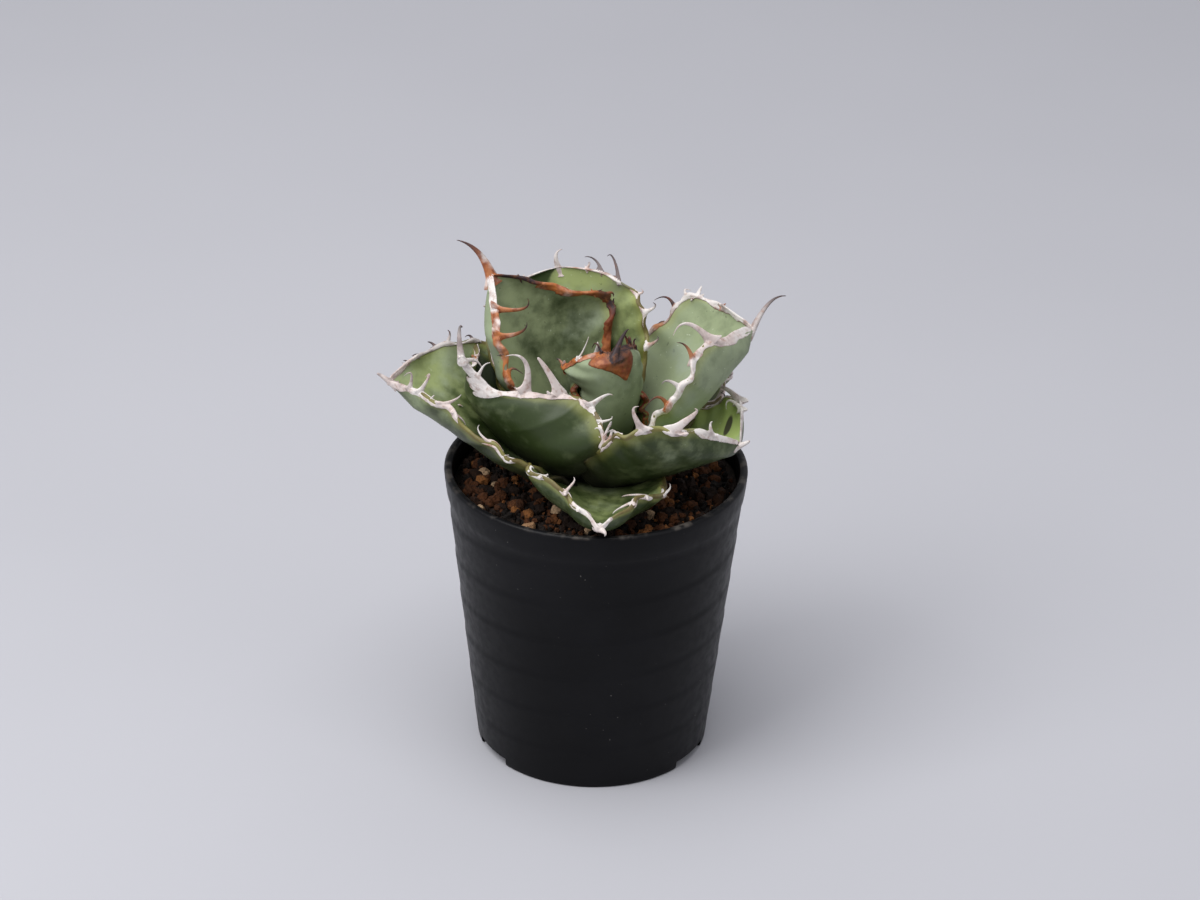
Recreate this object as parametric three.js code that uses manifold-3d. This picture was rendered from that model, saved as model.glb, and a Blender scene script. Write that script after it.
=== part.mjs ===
// Potted agave: a rosette of broad toothed leaves on a short stem, in gritty soil, in a round plastic pot.
// Millimetres, +Z up. Everything is placed about the pot's axis, with X to the right, Y to the back and
// the foot of the pot at Z 0. The group is then shifted so that its origin is the middle of its footprint.
import * as THREE from "three";
import { mergeVertices } from "three/addons/utils/BufferGeometryUtils.js";
import Module from "manifold-3d";

const wasm = await Module();
wasm.setup();

// ---------------------------------------------------------------- driving dimensions

const POT_AXIS = [5.6, -6]; // where the pot's axis stands from the middle of the footprint
const CLEARANCE = 0.3; // between separate pieces that touch
const SLIVER = 0.03; // detail smaller than this is closed up
const WELD = 0.004; // points closer than this are one

const POT = {
  height: 106.5,
  rimRadius: 52.5,
  neckRadius: 50.6, // outside of the wall just under the rim band
  neckHeight: 94,
  footRadius: 40.6,
  footWidth: 3.4,
  footRound: 0.8,
  wall: 1.9,
  floorUnder: 3.4,
  floorTop: 5.2,
  segments: 36,
};
const RINGS = { pitch: 15.5, count: 5, top: 88, proud: 0.5, fade: 0.85, step: 1.4 };
const NOTCHES = { count: 3, firstAt: 90, angle: 25, height: 3.1 }; // gaps in the foot
const DRAINS = { radius: 4, middleRadius: 5, count: 6, circle: 24 };

const SOIL = {
  level: 100,
  mound: 1.6, // higher at the stem than at the wall
  rough: 0.9,
  rings: 6,
  segments: 30,
  innerRadius: 10,
  seed: 11,
};
const GRAINS = { count: 22, small: 1.5, large: 2.8, from: 26, to: 45.5, seed: 23 };

const STEM = { bottom: 62, tail: 3, radius: 8.6, shoulder: 102, top: 107, neck: 6, segments: 12 };
const BUD = {
  bottom: 107.4,
  radius: 6.2,
  height: 42,
  offset: [2, 1],
  lean: [1.6, -0.8],
  twist: 1.2,
  sides: 8,
};

const LEAF_STEPS = 11; // along each leaf
const LEAF_LANES = 6; // across each leaf
const LEAF_END = 0.97; // the leaf stops a little short of its tip, which the end spine covers
const MIDRIB_STEPS = 40;
const EDGE_THICKNESS = 1.6;
const LOBE = { height: 1.4, spread: 0.04 }; // swelling of the leaf's edge under each tooth
const MARGIN = { from: 0.25, width: 1.3, standOff: 0.45 };
const TOOTH_ROOT = 0.4; // how far into the margin's strip a tooth starts
const THICKEST_TOOTH = 1.1;
const SPINE_ROOT = { halfWidth: 2.9, halfThickness: 1.8 };

// ---------------------------------------------------------------- colours and finishes

const finish = (color, roughness) => new THREE.MeshStandardMaterial({ color, roughness, metalness: 0 });
const FINISHES = {
  pot: finish(0x1d1d20, 0.45),
  soil: finish(0x4a2c1a, 0.95),
  stem: finish(0x8a7f5a, 0.8),
  oldLeaf: finish(0x66725c, 0.6),
  youngLeaf: finish(0x7f8f5c, 0.55),
  paleHorn: finish(0xc9c2b8, 0.6),
  brownHorn: finish(0x8d5a38, 0.5),
};

// ---------------------------------------------------------------- leaves

// heading: compass of the leaf from above, 0 to the right and 90 to the back. rise: its angle above
// level at the base and at the tip. lean, sweep and roll: turned within its own plane, turned further
// towards the tip, and about its midrib. start: distance from the axis and height of its base. from:
// where on its length the blade leaves the stem. cup: angle of the arc it is folded to, at base and tip.
// thick: its thickness at base and tip. left and right: its halves, seen from the stem, with their shares
// of width and fold at a low, a middle and a high place. spine: bend and tip of the end spine, as
// [on, to the left, up] from the leaf's end. tooth(place along the edge, its bend, its tip, width of its
// root), with bend and tip as [out, on, up].
const tooth = (along, bend, tip, width) => ({ along, bend, tip, width });
const EVEN = [1, 1, 1];
const KEYS = { low: 0.3, middle: 0.6, high: 0.85 };

const LEAVES = [
  {
    name: "heart_front",
    finish: "youngLeaf",
    horn: "brownHorn",
    heading: 296,
    rise: [75, 90],
    lean: 1,
    sweep: -12,
    start: { out: 4, x: 2.5, z: 111.5 },
    length: 44,
    width: 34,
    cup: [176, 182],
    thick: [5, 3],
    outline: { base: 0.5, widest: 0.66, taper: 2.5, point: 0.7 },
    left: { wide: [0.9, 1, 0.85], fold: [1.4, 0.95, 0.85] },
    right: { wide: [0.8, 0.9, 1.2], fold: [1.2, 1.4, 0.9] },
    spine: { bend: [2.5, 3.5, 0], tip: [6, 7.5, 0] },
    teeth: {
      left: [tooth(0.84, [1.5, 1, 0], [2.5, 2.5, 0], 2.6)],
      right: [
        tooth(0.93, [-1, 1.5, 1], [-2, 8, 5], 2.6),
        tooth(0.99, [1.5, 2.5, 0], [3.5, 1, -1.5], 2),
        tooth(0.83, [2.5, 0.5, 0.5], [4, 1.5, -0.5], 4),
      ],
    },
  },
  {
    name: "heart_back",
    finish: "youngLeaf",
    horn: "brownHorn",
    heading: 105,
    rise: [84, 96],
    lean: 4,
    start: { out: 4, x: 3.5, z: 108 },
    length: 40,
    width: 36,
    cup: [150, 180],
    thick: [4, 2.5],
    outline: { base: 0.7, widest: 0.55, taper: 2, point: 0.8 },
    spine: { bend: [2, 0, 0.5], tip: [5, 0, 0.5] },
    teeth: {
      left: [tooth(0.85, [1.5, 0.5, 0], [3, 2, 0], 2.4), tooth(0.66, [1.5, 0.5, 0], [3, 1, 0], 2.4)],
      right: [tooth(0.85, [1.5, 0.5, 0], [3, 2, 0], 2.4), tooth(0.66, [1.5, 0.5, 0], [3, 1, 0], 2.4)],
    },
  },
  {
    name: "back_left",
    finish: "oldLeaf",
    horn: "brownHorn",
    heading: 124,
    rise: [62, 77],
    lean: 21,
    sweep: -4,
    roll: 2,
    start: { out: 6.5, x: 1.5, z: 106.5 },
    length: 75,
    width: 62,
    cup: [80, 110],
    thick: [7, 3],
    outline: { base: 0.48, widest: 0.62, taper: 1.05, point: 0.8 },
    left: { wide: [1, 0.8, 1], fold: [1.75, 1.65, 1.75] },
    right: { wide: [0.85, 1.05, 1], fold: [0.9, 0.8, 1] },
    spine: { bend: [5, -0.5, -1.5], tip: [15, 3.5, -7] },
    teeth: {
      left: [
        tooth(0.9, [6.5, -2, 3.5], [11, 1, 7], 4),
        tooth(0.81, [5, -1, 3.5], [10, 2, 7.5], 4.5),
        tooth(0.75, [0.5, -1, 0], [-2, -1.5, -2], 2),
        tooth(0.61, [0.5, 3, 1.5], [3.5, 0.5, 4.5], 4),
      ],
      right: [
        tooth(0.93, [0.5, 0, 0], [3, -1, -0.5], 3),
        tooth(0.68, [0.5, 0, 0], [3, 0, 0], 3),
        tooth(0.64, [2, 0, 0], [2.5, -2, 0], 3),
        tooth(0.55, [1, 1.5, -0.5], [2.5, 3.5, -0.5], 3),
      ],
    },
  },
  {
    name: "back",
    finish: "youngLeaf",
    horn: "paleHorn",
    heading: 92,
    rise: [64, 72],
    lean: 9.5,
    sweep: -4,
    roll: -3,
    start: { out: 7.5, x: -3, z: 104 },
    length: 68,
    width: 56,
    cup: [94, 52],
    thick: [7, 3],
    outline: { base: 0.53, widest: 0.65, taper: 2.5, point: 0.63 },
    spine: { bend: [2, 1, 0], tip: [6, -1.5, -0.5] },
    teeth: {
      left: [tooth(0.96, [1.5, 0.5, 0], [2.5, 1.5, 0], 2.5), tooth(0.84, [1.5, 0.5, 0], [2.5, 1, 0], 2.4)],
      right: [
        tooth(0.96, [-1, 3, 0], [-5.5, 5.5, 1], 2.6),
        tooth(0.91, [0, 5.5, 0], [-3, 8.5, 0], 2.6),
        tooth(0.83, [1.5, 0, -0.5], [1.5, 1.5, -0.5], 2),
        tooth(0.73, [3, 1, -0.5], [3, 3, -1], 2.5),
        tooth(0.55, [3, 1, -0.5], [4, 3, -1], 2.5),
      ],
    },
  },
  {
    name: "right",
    from: 0.04,
    finish: "oldLeaf",
    horn: "paleHorn",
    heading: 21,
    rise: [43, 43],
    lean: -2,
    sweep: -10,
    roll: -9,
    start: { out: 5.5, z: 108 },
    length: 67,
    width: 67,
    cup: [88, 105],
    thick: [8, 4],
    outline: { base: 0.43, widest: 0.63, taper: 2.05, point: 0.95 },
    left: { wide: [1.2, 0.9, 1.15], fold: [1.1, 0.75, 0.75] },
    right: { wide: [1.15, 1.1, 1.2], fold: [1.05, 1.1, 1.5] },
    spine: { bend: [5.5, 1.5, 1.5], tip: [15.5, 3, 0] },
    teeth: {
      left: [
        tooth(0.91, [1, -0.5, 0], [0, 0.5, 0], 2),
        tooth(0.83, [1, 2, 0], [2, 3.5, 0], 3.5),
        tooth(0.79, [2, 0.5, 0.5], [1, 2.5, 0], 2.5),
        tooth(0.71, [3.5, 0.5, 0.5], [7, -4, 1.5], 2.6),
        tooth(0.59, [0.5, 1, 0], [0, 3.5, 0], 2.4),
        tooth(0.53, [1, -2, 0], [-1, -4.5, 0], 2.4),
        tooth(0.48, [1, -2, 0.5], [0, -5, 0.5], 2.4),
      ],
      right: [
        tooth(0.86, [8, -0.5, 2.5], [11, -8, 2.5], 5),
        tooth(0.74, [3.5, 1.5, 1.5], [8.5, 0.5, 3.5], 3.4),
        tooth(0.59, [3, -0.5, 2], [5, -3.5, 3], 3.2),
        tooth(0.47, [3, 0.5, 2.5], [5, -6, 3], 3),
      ],
    },
  },
  {
    name: "left",
    from: 0.05,
    finish: "oldLeaf",
    horn: "paleHorn",
    heading: 180,
    rise: [33, 22],
    lean: 1,
    sweep: 5,
    roll: -6,
    start: { out: 6, z: 105 },
    length: 74,
    width: 64,
    cup: [90, 110],
    thick: [8, 3.5],
    outline: { base: 0.55, widest: 0.5, taper: 1.5, point: 0.84 },
    left: { wide: [1.2, 0.95, 0.9], fold: [0.8, 0.8, 1.25] },
    spine: { bend: [1.5, -0.5, 0.5], tip: [4, -1, 0.5] },
    teeth: {
      left: [
        tooth(0.92, [4, 1, 2], [3, 3.5, 2], 2.2),
        tooth(0.88, [5, -0.5, 2.5], [5.5, 0.5, 3], 2.6),
        tooth(0.83, [1, 0, 0.5], [2, -0.5, 1], 1.6),
        tooth(0.78, [2, -2, 1], [6, -4, 3], 3.6),
        tooth(0.72, [0, -2, -0.5], [-1, -5, -2], 2.4),
        tooth(0.54, [-0.5, 3, 1], [0, 5.5, 4], 2.4),
        tooth(0.49, [-0.5, 1.5, 0], [-0.5, 2.5, 0], 2),
        tooth(0.43, [-0.5, 2, 0], [0.5, 1, 1.5], 2),
      ],
      right: [
        tooth(0.93, [0.5, 0, 0], [0.5, 1.5, 0], 2.2),
        tooth(0.89, [0.5, 0, 0], [0, 1.5, 0], 2.4),
        tooth(0.81, [0.5, 1.5, 0], [0.5, 3.5, -0.5], 2.4),
        tooth(0.77, [2.5, 0, 0], [4.5, 1.5, 0], 2.6),
        tooth(0.66, [1, 1, 0], [0, 3, 0], 2.4),
      ],
    },
  },
  {
    name: "front_left",
    from: 0.05,
    finish: "oldLeaf",
    horn: "paleHorn",
    heading: 200,
    rise: [37, 66],
    sweep: 12,
    roll: 8,
    start: { out: 8.5, z: 106 },
    length: 68.5,
    width: 70,
    cup: [72, 118],
    thick: [9, 3.8],
    outline: { base: 0.25, widest: 0.57, taper: 0.85, point: 1.5 },
    left: { wide: [1.4, 1, 0.6], fold: [1, 1.6, 0.6] },
    right: { wide: [0.95, 1.15, 0.8], fold: [1, 0.85, 0.8] },
    spine: { bend: [4, -2.5, 2.5], tip: [6.5, -3.5, 5.5] },
    teeth: {
      left: [
        tooth(0.86, [1.5, 2, 1.5], [5, 3.5, 3.5], 2.4),
        tooth(0.7, [5.5, 6, 2.5], [1.5, 14, 4.5], 4.6),
        tooth(0.62, [2.5, 9, 2.5], [2.5, 13.5, 4], 5),
        tooth(0.51, [4.5, 0, 0.5], [8.5, -2, 0.5], 4.5),
        tooth(0.44, [2.5, -1, 0], [4.5, -0.5, 0.5], 2),
        tooth(0.37, [0.5, 2.5, 1], [-1, 4.5, 1], 2.6),
      ],
      right: [tooth(0.92, [2, -1.5, 1.5], [2, -6.5, 3.5], 3.6), tooth(0.7, [2, -1, 0], [4, -2, 0], 3)],
    },
  },
  {
    name: "front_right",
    from: 0.08,
    finish: "oldLeaf",
    horn: "paleHorn",
    heading: 337,
    rise: [24, 22],
    sweep: 2,
    roll: -11,
    start: { out: 4.5, z: 106.5 },
    length: 52,
    width: 56,
    cup: [84, 107],
    thick: [9, 4],
    outline: { base: 0.73, widest: 0.55, taper: 2.6, point: 0.78 },
    left: { wide: [1, 0.95, 1.2], fold: [0.9, 0.9, 1.05] },
    right: { wide: [1.4, 1.5, 1.45], fold: [0.8, 0.95, 1] },
    spine: { bend: [1.5, 0.5, -1], tip: [2.5, 1, -0.5] },
    teeth: {
      left: [
        tooth(0.92, [3.5, -3, 1], [1, -5.5, 1], 3),
        tooth(0.88, [5, -4, 1.5], [4.5, -10, 3], 4.5),
        tooth(0.68, [1.5, 1, 0], [3.5, 0, 1], 2),
      ],
      right: [
        tooth(0.95, [2.5, 0.5, 1], [4, 2, 2], 3),
        tooth(0.84, [2, 6, 2.5], [4.5, 9.5, 4.5], 6.5),
        tooth(0.71, [5, -0.5, 2], [7.5, 2, 4], 5),
        tooth(0.56, [1, -0.5, 0.5], [2.5, -1, 0.5], 2.4),
        tooth(0.49, [2, 2, 2], [2.5, -0.5, 1], 2),
        tooth(0.43, [4, 4, 4], [4, 5, 4.5], 2),
      ],
    },
  },
  {
    name: "low_back",
    from: 0.1,
    finish: "oldLeaf",
    horn: "paleHorn",
    heading: 104,
    rise: [18, 30],
    start: { out: 6, z: 104 },
    length: 66,
    width: 56,
    cup: [90, 100],
    thick: [8, 3.5],
    outline: { base: 0.5, widest: 0.6, taper: 1.8, point: 0.8 },
    spine: { bend: [3, 0, -0.5], tip: [7, 0, -2] },
    teeth: {
      left: [
        tooth(0.88, [2.5, 0, 0.5], [4, -2, 1], 3),
        tooth(0.74, [3, -0.5, 0.5], [5, -2.5, 1.5], 3),
        tooth(0.58, [2.5, 0, 0.5], [4, -2, 1], 3),
      ],
      right: [
        tooth(0.9, [2.5, 0, 0.5], [4, -2, 1], 3),
        tooth(0.77, [3, -0.5, 0.5], [4.5, -3, 1.5], 3),
        tooth(0.62, [2.5, 0, 0.5], [4, -2, 1], 3),
      ],
    },
  },
  {
    name: "low_right",
    from: 0.1,
    finish: "oldLeaf",
    horn: "paleHorn",
    heading: 56,
    rise: [12, 26],
    start: { out: 6, z: 105 },
    length: 64,
    width: 54,
    cup: [90, 100],
    thick: [8, 3.5],
    outline: { base: 0.5, widest: 0.6, taper: 1.8, point: 0.8 },
    spine: { bend: [3, 0, -0.5], tip: [6, 0, -2] },
    teeth: {
      left: [
        tooth(0.88, [2.5, 0, 0.5], [4, -2, 1], 3),
        tooth(0.73, [3, 0, 0.5], [4.5, -2, 1], 3),
        tooth(0.57, [2.5, 0, 0.5], [4, -2, 1], 3),
      ],
      right: [
        tooth(0.9, [2.5, 0, 0.5], [4, -2, 1], 3),
        tooth(0.76, [3, -0.5, 0.5], [4.5, -3, 1], 3),
        tooth(0.6, [2.5, 0, 0.5], [4, -2, 1], 3),
      ],
    },
  },
  {
    name: "low_left",
    from: 0.1,
    finish: "oldLeaf",
    horn: "paleHorn",
    heading: 146,
    rise: [14, 22],
    start: { out: 6, z: 104 },
    length: 66,
    width: 54,
    cup: [90, 100],
    thick: [8, 3.5],
    outline: { base: 0.5, widest: 0.6, taper: 1.8, point: 0.8 },
    spine: { bend: [3, 0, -0.5], tip: [6, 0, -2] },
    teeth: {
      left: [
        tooth(0.88, [2.5, 0, 0.5], [4, -2, 1], 3),
        tooth(0.75, [3, -0.5, 0.5], [4.5, -3, 1], 3),
        tooth(0.6, [2.5, 0, 0.5], [4, -2, 1], 3),
      ],
      right: [
        tooth(0.89, [2.5, 0, 0.5], [4, -2, 1], 3),
        tooth(0.74, [3, -0.5, 0.5], [4, -3, 1], 3),
        tooth(0.58, [2.5, 0, 0.5], [4, -2, 1], 3),
      ],
    },
  },
  {
    name: "front",
    from: 0.08,
    finish: "oldLeaf",
    horn: "paleHorn",
    heading: 273,
    rise: [7, 6],
    sweep: -5,
    roll: -5.5,
    start: { out: 3.6, z: 106.8 },
    length: 54,
    width: 49,
    cup: [44, 118],
    thick: [7, 4],
    outline: { base: 0.5, widest: 0.57, taper: 1.35, point: 0.95 },
    left: { wide: [1, 0.88, 0.9], fold: [1, 0.85, 1.35] },
    right: { wide: [0.95, 1.15, 1], fold: [0.85, 1.1, 1.25] },
    spine: { bend: [0.5, 1.5, -0.5], tip: [1, 2, -2] },
    teeth: {
      left: [
        tooth(0.82, [-3, 0, 2.5], [-7, 0.5, 4.5], 3),
        tooth(0.74, [-2.5, -1.5, 3], [-6.5, -2.5, 6], 3.4),
        tooth(0.61, [1.5, -0.5, 0], [3, -2, 1.5], 2.8),
      ],
      right: [
        tooth(0.9, [-1.5, 0, 2], [-4, 0.5, 3.5], 3),
        tooth(0.81, [1, -1.5, 2.5], [3, -3, 4], 3.6),
        tooth(0.69, [-1, -0.5, 1.5], [-1, -1, 2.5], 2.6),
        tooth(0.63, [0, -0.5, 1], [-1, -0.5, 1.5], 2.4),
      ],
    },
  },
];

// ---------------------------------------------------------------- small helpers

const { lerp, clamp, degToRad, smoothstep } = THREE.MathUtils;
const v3 = (x, y, z) => new THREE.Vector3(x, y, z);
const sum = (...terms) =>
  terms.reduce((total, [vector, scale]) => total.addScaledVector(vector, scale), v3(0, 0, 0));

// The same numbers each time, between 0 and 1.
function seededRandom(seed) {
  let state = seed;
  return () => {
    state = (state * 16807) % 2147483647;
    return state / 2147483647;
  };
}

// A closed three.js geometry as a solid that can be joined and cut.
function solidOf(geometry) {
  const bare = geometry.clone();
  bare.deleteAttribute("normal");
  bare.deleteAttribute("uv");
  const merged = mergeVertices(bare, WELD);
  const index = merged.index.array;
  const triangles = [];
  for (let i = 0; i < index.length; i += 3) {
    const [a, b, c] = [index[i], index[i + 1], index[i + 2]];
    if (a !== b && b !== c && c !== a) triangles.push(a, b, c);
  }
  const mesh = new wasm.Mesh({
    numProp: 3,
    vertProperties: new Float32Array(merged.attributes.position.array),
    triVerts: new Uint32Array(triangles),
  });
  return new wasm.Manifold(mesh);
}

function geometryOf(solid) {
  const { vertProperties, triVerts } = solid.getMesh();
  const geometry = new THREE.BufferGeometry();
  geometry.setAttribute("position", new THREE.BufferAttribute(new Float32Array(vertProperties), 3));
  geometry.setIndex(new THREE.BufferAttribute(new Uint32Array(triVerts), 1));
  geometry.computeVertexNormals();
  return geometry;
}

// Cuts leave loose scraps and slivers, which are dropped.
function mainBody(solid) {
  const bodies = solidOf(geometryOf(solid.simplify(SLIVER))).decompose();
  return bodies.reduce((best, body) => (body.volume() > best.volume() ? body : best));
}

const cutBy = (solid, cutters) =>
  cutters
    .filter((cutter) => !solid.intersect(cutter).isEmpty())
    .reduce((left, cutter) => left.subtract(cutter), solid);

// A closed skin over rings of points: each ring is joined to the next, and the two end rings are capped.
function loft(rings) {
  const sides = rings[0].length;
  const points = rings.flat();
  const index = [];
  for (let ring = 0; ring < rings.length - 1; ring++) {
    for (let side = 0; side < sides; side++) {
      const a = ring * sides + side;
      const b = ring * sides + ((side + 1) % sides);
      index.push(a, b, b + sides, a, b + sides, a + sides);
    }
  }
  const last = (rings.length - 1) * sides;
  for (let side = 1; side < sides - 1; side++) {
    index.push(0, side + 1, side);
    index.push(last, last + side, last + side + 1);
  }
  const geometry = new THREE.BufferGeometry().setFromPoints(points);
  geometry.setIndex(index);
  const solid = solidOf(geometry);
  return solid.volume() < 0 ? solidOf(flipped(geometry)) : solid;
}

function flipped(geometry) {
  const index = Array.from(geometry.index.array);
  for (let i = 0; i < index.length; i += 3) [index[i + 1], index[i + 2]] = [index[i + 2], index[i + 1]];
  return geometry.clone().setIndex(index);
}

// A profile of [radius, height] points turned about +Z. It runs anticlockwise, with the axis on its left.
function turned(profile, segments) {
  const points = profile.map(([radius, height]) => new THREE.Vector2(radius, height));
  return solidOf(new THREE.LatheGeometry(points, segments).rotateX(Math.PI / 2));
}

// ---------------------------------------------------------------- pot

function wallRadius(height) {
  const share = (height - POT.footRound) / (POT.neckHeight - POT.footRound);
  return lerp(POT.footRadius, POT.neckRadius, share);
}

function ringPoints() {
  const points = [];
  for (let ring = RINGS.count - 1; ring >= 0; ring--) {
    const height = RINGS.top - ring * RINGS.pitch;
    const proud = RINGS.proud * RINGS.fade ** ring;
    points.push([wallRadius(height) + proud, height]);
    points.push([wallRadius(height + RINGS.step), height + RINGS.step]);
  }
  return points;
}

function potSolid() {
  const { height, rimRadius, footRadius, footWidth, footRound, wall, floorUnder, floorTop, neckHeight } = POT;
  const footInner = footRadius - footWidth;
  const body = turned(
    [
      [0, floorUnder],
      [footInner, floorUnder],
      [footInner, 0],
      [footRadius - footRound, 0],
      [footRadius, footRound],
      ...ringPoints(),
      [POT.neckRadius, neckHeight],
      [rimRadius - 0.9, neckHeight + 2.5],
      [rimRadius, height - 1],
      [rimRadius - 0.6, height],
      [rimRadius - 2.2, height],
      [rimRadius - 3, height - 1.2],
      [POT.neckRadius - wall, neckHeight],
      [wallRadius(floorTop) - wall, floorTop],
      [0, floorTop],
    ],
    POT.segments,
  );
  return cutBy(body, [...notchCutters(), ...drainCutters()]);
}

function notchCutters() {
  const width = 2 * POT.footRadius * Math.sin(degToRad(NOTCHES.angle / 2));
  const depth = POT.footWidth + 4;
  return Array.from({ length: NOTCHES.count }, (_, i) => {
    const box = new THREE.BoxGeometry(depth, width, 2 * NOTCHES.height);
    box.translate(POT.footRadius - POT.footWidth / 2, 0, 0);
    box.rotateZ(degToRad(NOTCHES.firstAt + (i * 360) / NOTCHES.count));
    return solidOf(box);
  });
}

function drainCutters() {
  const drill = (radius, x, y) => {
    const bit = new THREE.CylinderGeometry(radius, radius, 12, 12).rotateX(Math.PI / 2);
    return solidOf(bit.translate(x, y, POT.floorTop));
  };
  const round = Array.from({ length: DRAINS.count }, (_, i) => {
    const turn = (i * 2 * Math.PI) / DRAINS.count;
    return drill(DRAINS.radius, DRAINS.circle * Math.cos(turn), DRAINS.circle * Math.sin(turn));
  });
  return [drill(DRAINS.middleRadius, 0, 0), ...round];
}

// ---------------------------------------------------------------- soil

function innerRadius(height) {
  return wallRadius(height) - POT.wall - CLEARANCE;
}

function soilRing(radius, heightAt) {
  return Array.from({ length: SOIL.segments }, (_, i) => {
    const turn = (i * 2 * Math.PI) / SOIL.segments;
    return v3(radius * Math.cos(turn), radius * Math.sin(turn), heightAt());
  });
}

// The filling: a bottom ring on the floor, a ring where it meets the wall, and rough rings up to the stem.
function soilSolid() {
  const random = seededRandom(SOIL.seed);
  const bottom = POT.floorTop + CLEARANCE;
  const edge = innerRadius(SOIL.level) - 0.2;
  const rings = [soilRing(innerRadius(bottom) - 0.2, () => bottom), soilRing(edge, () => SOIL.level - 0.6)];
  for (let ring = 1; ring <= SOIL.rings; ring++) {
    const share = ring / SOIL.rings;
    const radius = lerp(edge, SOIL.innerRadius, share);
    const level = SOIL.level + SOIL.mound * share;
    rings.push(soilRing(radius, () => level + SOIL.rough * (2 * random() - 1)));
  }
  return loft(rings).add(grains());
}

function grains() {
  const random = seededRandom(GRAINS.seed);
  const between = (low, high) => lerp(low, high, random());
  let heap = null;
  for (let i = 0; i < GRAINS.count; i++) {
    const size = between(GRAINS.small, GRAINS.large);
    const grain = new THREE.IcosahedronGeometry(size, 0);
    grain.scale(1, between(0.7, 1), between(0.65, 0.9));
    grain.rotateZ(between(0, Math.PI));
    grain.rotateX(between(0, Math.PI));
    const turn = between(0, 2 * Math.PI);
    const radius = between(GRAINS.from, GRAINS.to);
    grain.translate(radius * Math.cos(turn), radius * Math.sin(turn), SOIL.level + 0.35 * size);
    heap = heap ? heap.add(solidOf(grain)) : solidOf(grain);
  }
  return heap;
}

// ---------------------------------------------------------------- stem and bud

function stemSolid(grow) {
  const { bottom, tail, radius, shoulder, top, neck } = STEM;
  return turned(
    [
      [0, bottom - grow],
      [tail + grow, bottom - grow],
      [radius + grow, lerp(bottom, shoulder, 0.45)],
      [radius + grow, shoulder],
      [neck + grow, top + grow],
      [0, top + grow],
    ],
    STEM.segments,
  );
}

// A tight cone of rolled leaves, with a shallow seam winding up it.
function budRing(share, grow) {
  const swell = Math.sin(Math.PI * Math.min(0.5, 0.32 + share * 0.5));
  const radius = BUD.radius * swell * (1 - share ** 1.7) + grow + 0.25;
  return Array.from({ length: BUD.sides }, (_, i) => {
    const turn = (i * 2 * Math.PI) / BUD.sides;
    const seam = 1 - 0.12 * Math.cos(turn - BUD.twist * 2 * share);
    return v3(
      BUD.offset[0] + BUD.lean[0] * share + radius * seam * Math.cos(turn),
      BUD.offset[1] + BUD.lean[1] * share + radius * seam * Math.sin(turn),
      BUD.bottom + BUD.height * share + (share > 0.5 ? grow : -grow),
    );
  });
}

const budSolid = (grow) => loft([0, 0.15, 0.35, 0.55, 0.75, 0.9, 1].map((share) => budRing(share, grow)));

// ---------------------------------------------------------------- leaf surface

// The directions at a place along the leaf: tangent to the tip, side to its left edge, and normal off
// its inner face.
function leafFrame(leaf, along) {
  const heading = degToRad(leaf.heading);
  const rise = degToRad(lerp(leaf.rise[0], leaf.rise[1], along));
  const lean = degToRad((leaf.lean ?? 0) + (leaf.sweep ?? 0) * along ** 2);
  const roll = degToRad(leaf.roll ?? 0);
  const sideways = v3(-Math.sin(heading), Math.cos(heading), 0);
  const forward = v3(Math.cos(heading) * Math.cos(rise), Math.sin(heading) * Math.cos(rise), Math.sin(rise));
  const up = v3(0, 0, 0).crossVectors(forward, sideways);
  const tangent = sum([forward, Math.cos(lean)], [sideways, Math.sin(lean)]);
  const across = sum([sideways, Math.cos(lean)], [forward, -Math.sin(lean)]);
  const side = sum([across, Math.cos(roll)], [up, Math.sin(roll)]);
  const normal = sum([up, Math.cos(roll)], [across, -Math.sin(roll)]);
  return { tangent, side, normal };
}

function midribOf(leaf) {
  const heading = degToRad(leaf.heading);
  const { out, x = 0, z } = leaf.start;
  const points = [v3(out * Math.cos(heading) + x, out * Math.sin(heading), z)];
  const step = leaf.length / MIDRIB_STEPS;
  for (let i = 0; i < MIDRIB_STEPS; i++) {
    const { tangent } = leafFrame(leaf, (i + 0.5) / MIDRIB_STEPS);
    points.push(points[i].clone().addScaledVector(tangent, step));
  }
  return points;
}

function midribPoint(leaf, along) {
  leaf.midrib ??= midribOf(leaf);
  const place = clamp(along, 0, 1) * MIDRIB_STEPS;
  const before = Math.min(Math.floor(place), MIDRIB_STEPS - 1);
  const point = leaf.midrib[before].clone().lerp(leaf.midrib[before + 1], place - before);
  const beyond = along - clamp(along, 0, 1);
  return point.addScaledVector(leafFrame(leaf, along).tangent, beyond * leaf.length);
}

// The leaf's width as a share of its widest: it swells from the base, then tapers to the tip.
function outlineShare({ base, widest, taper, point }, along) {
  if (along < widest) return base + (1 - base) * Math.sin((Math.PI / 2) * Math.max(0, along / widest));
  const share = clamp((along - widest) / (1 - widest), 0, 1);
  return Math.max(0, 1 - share ** taper) ** point;
}

// A share given at a low, a middle and a high place, blended between them.
function keyed([low, middle, high], along) {
  const lower = lerp(low, middle, smoothstep(along, KEYS.low, KEYS.middle));
  return lower + (high - middle) * smoothstep(along, KEYS.middle, KEYS.high);
}

function lobeHeight(teeth, along) {
  const lobe = (tooth) => LOBE.height * Math.exp(-(((along - tooth.along) / LOBE.spread) ** 2));
  return teeth.reduce((total, tooth) => total + lobe(tooth), 0);
}

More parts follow.
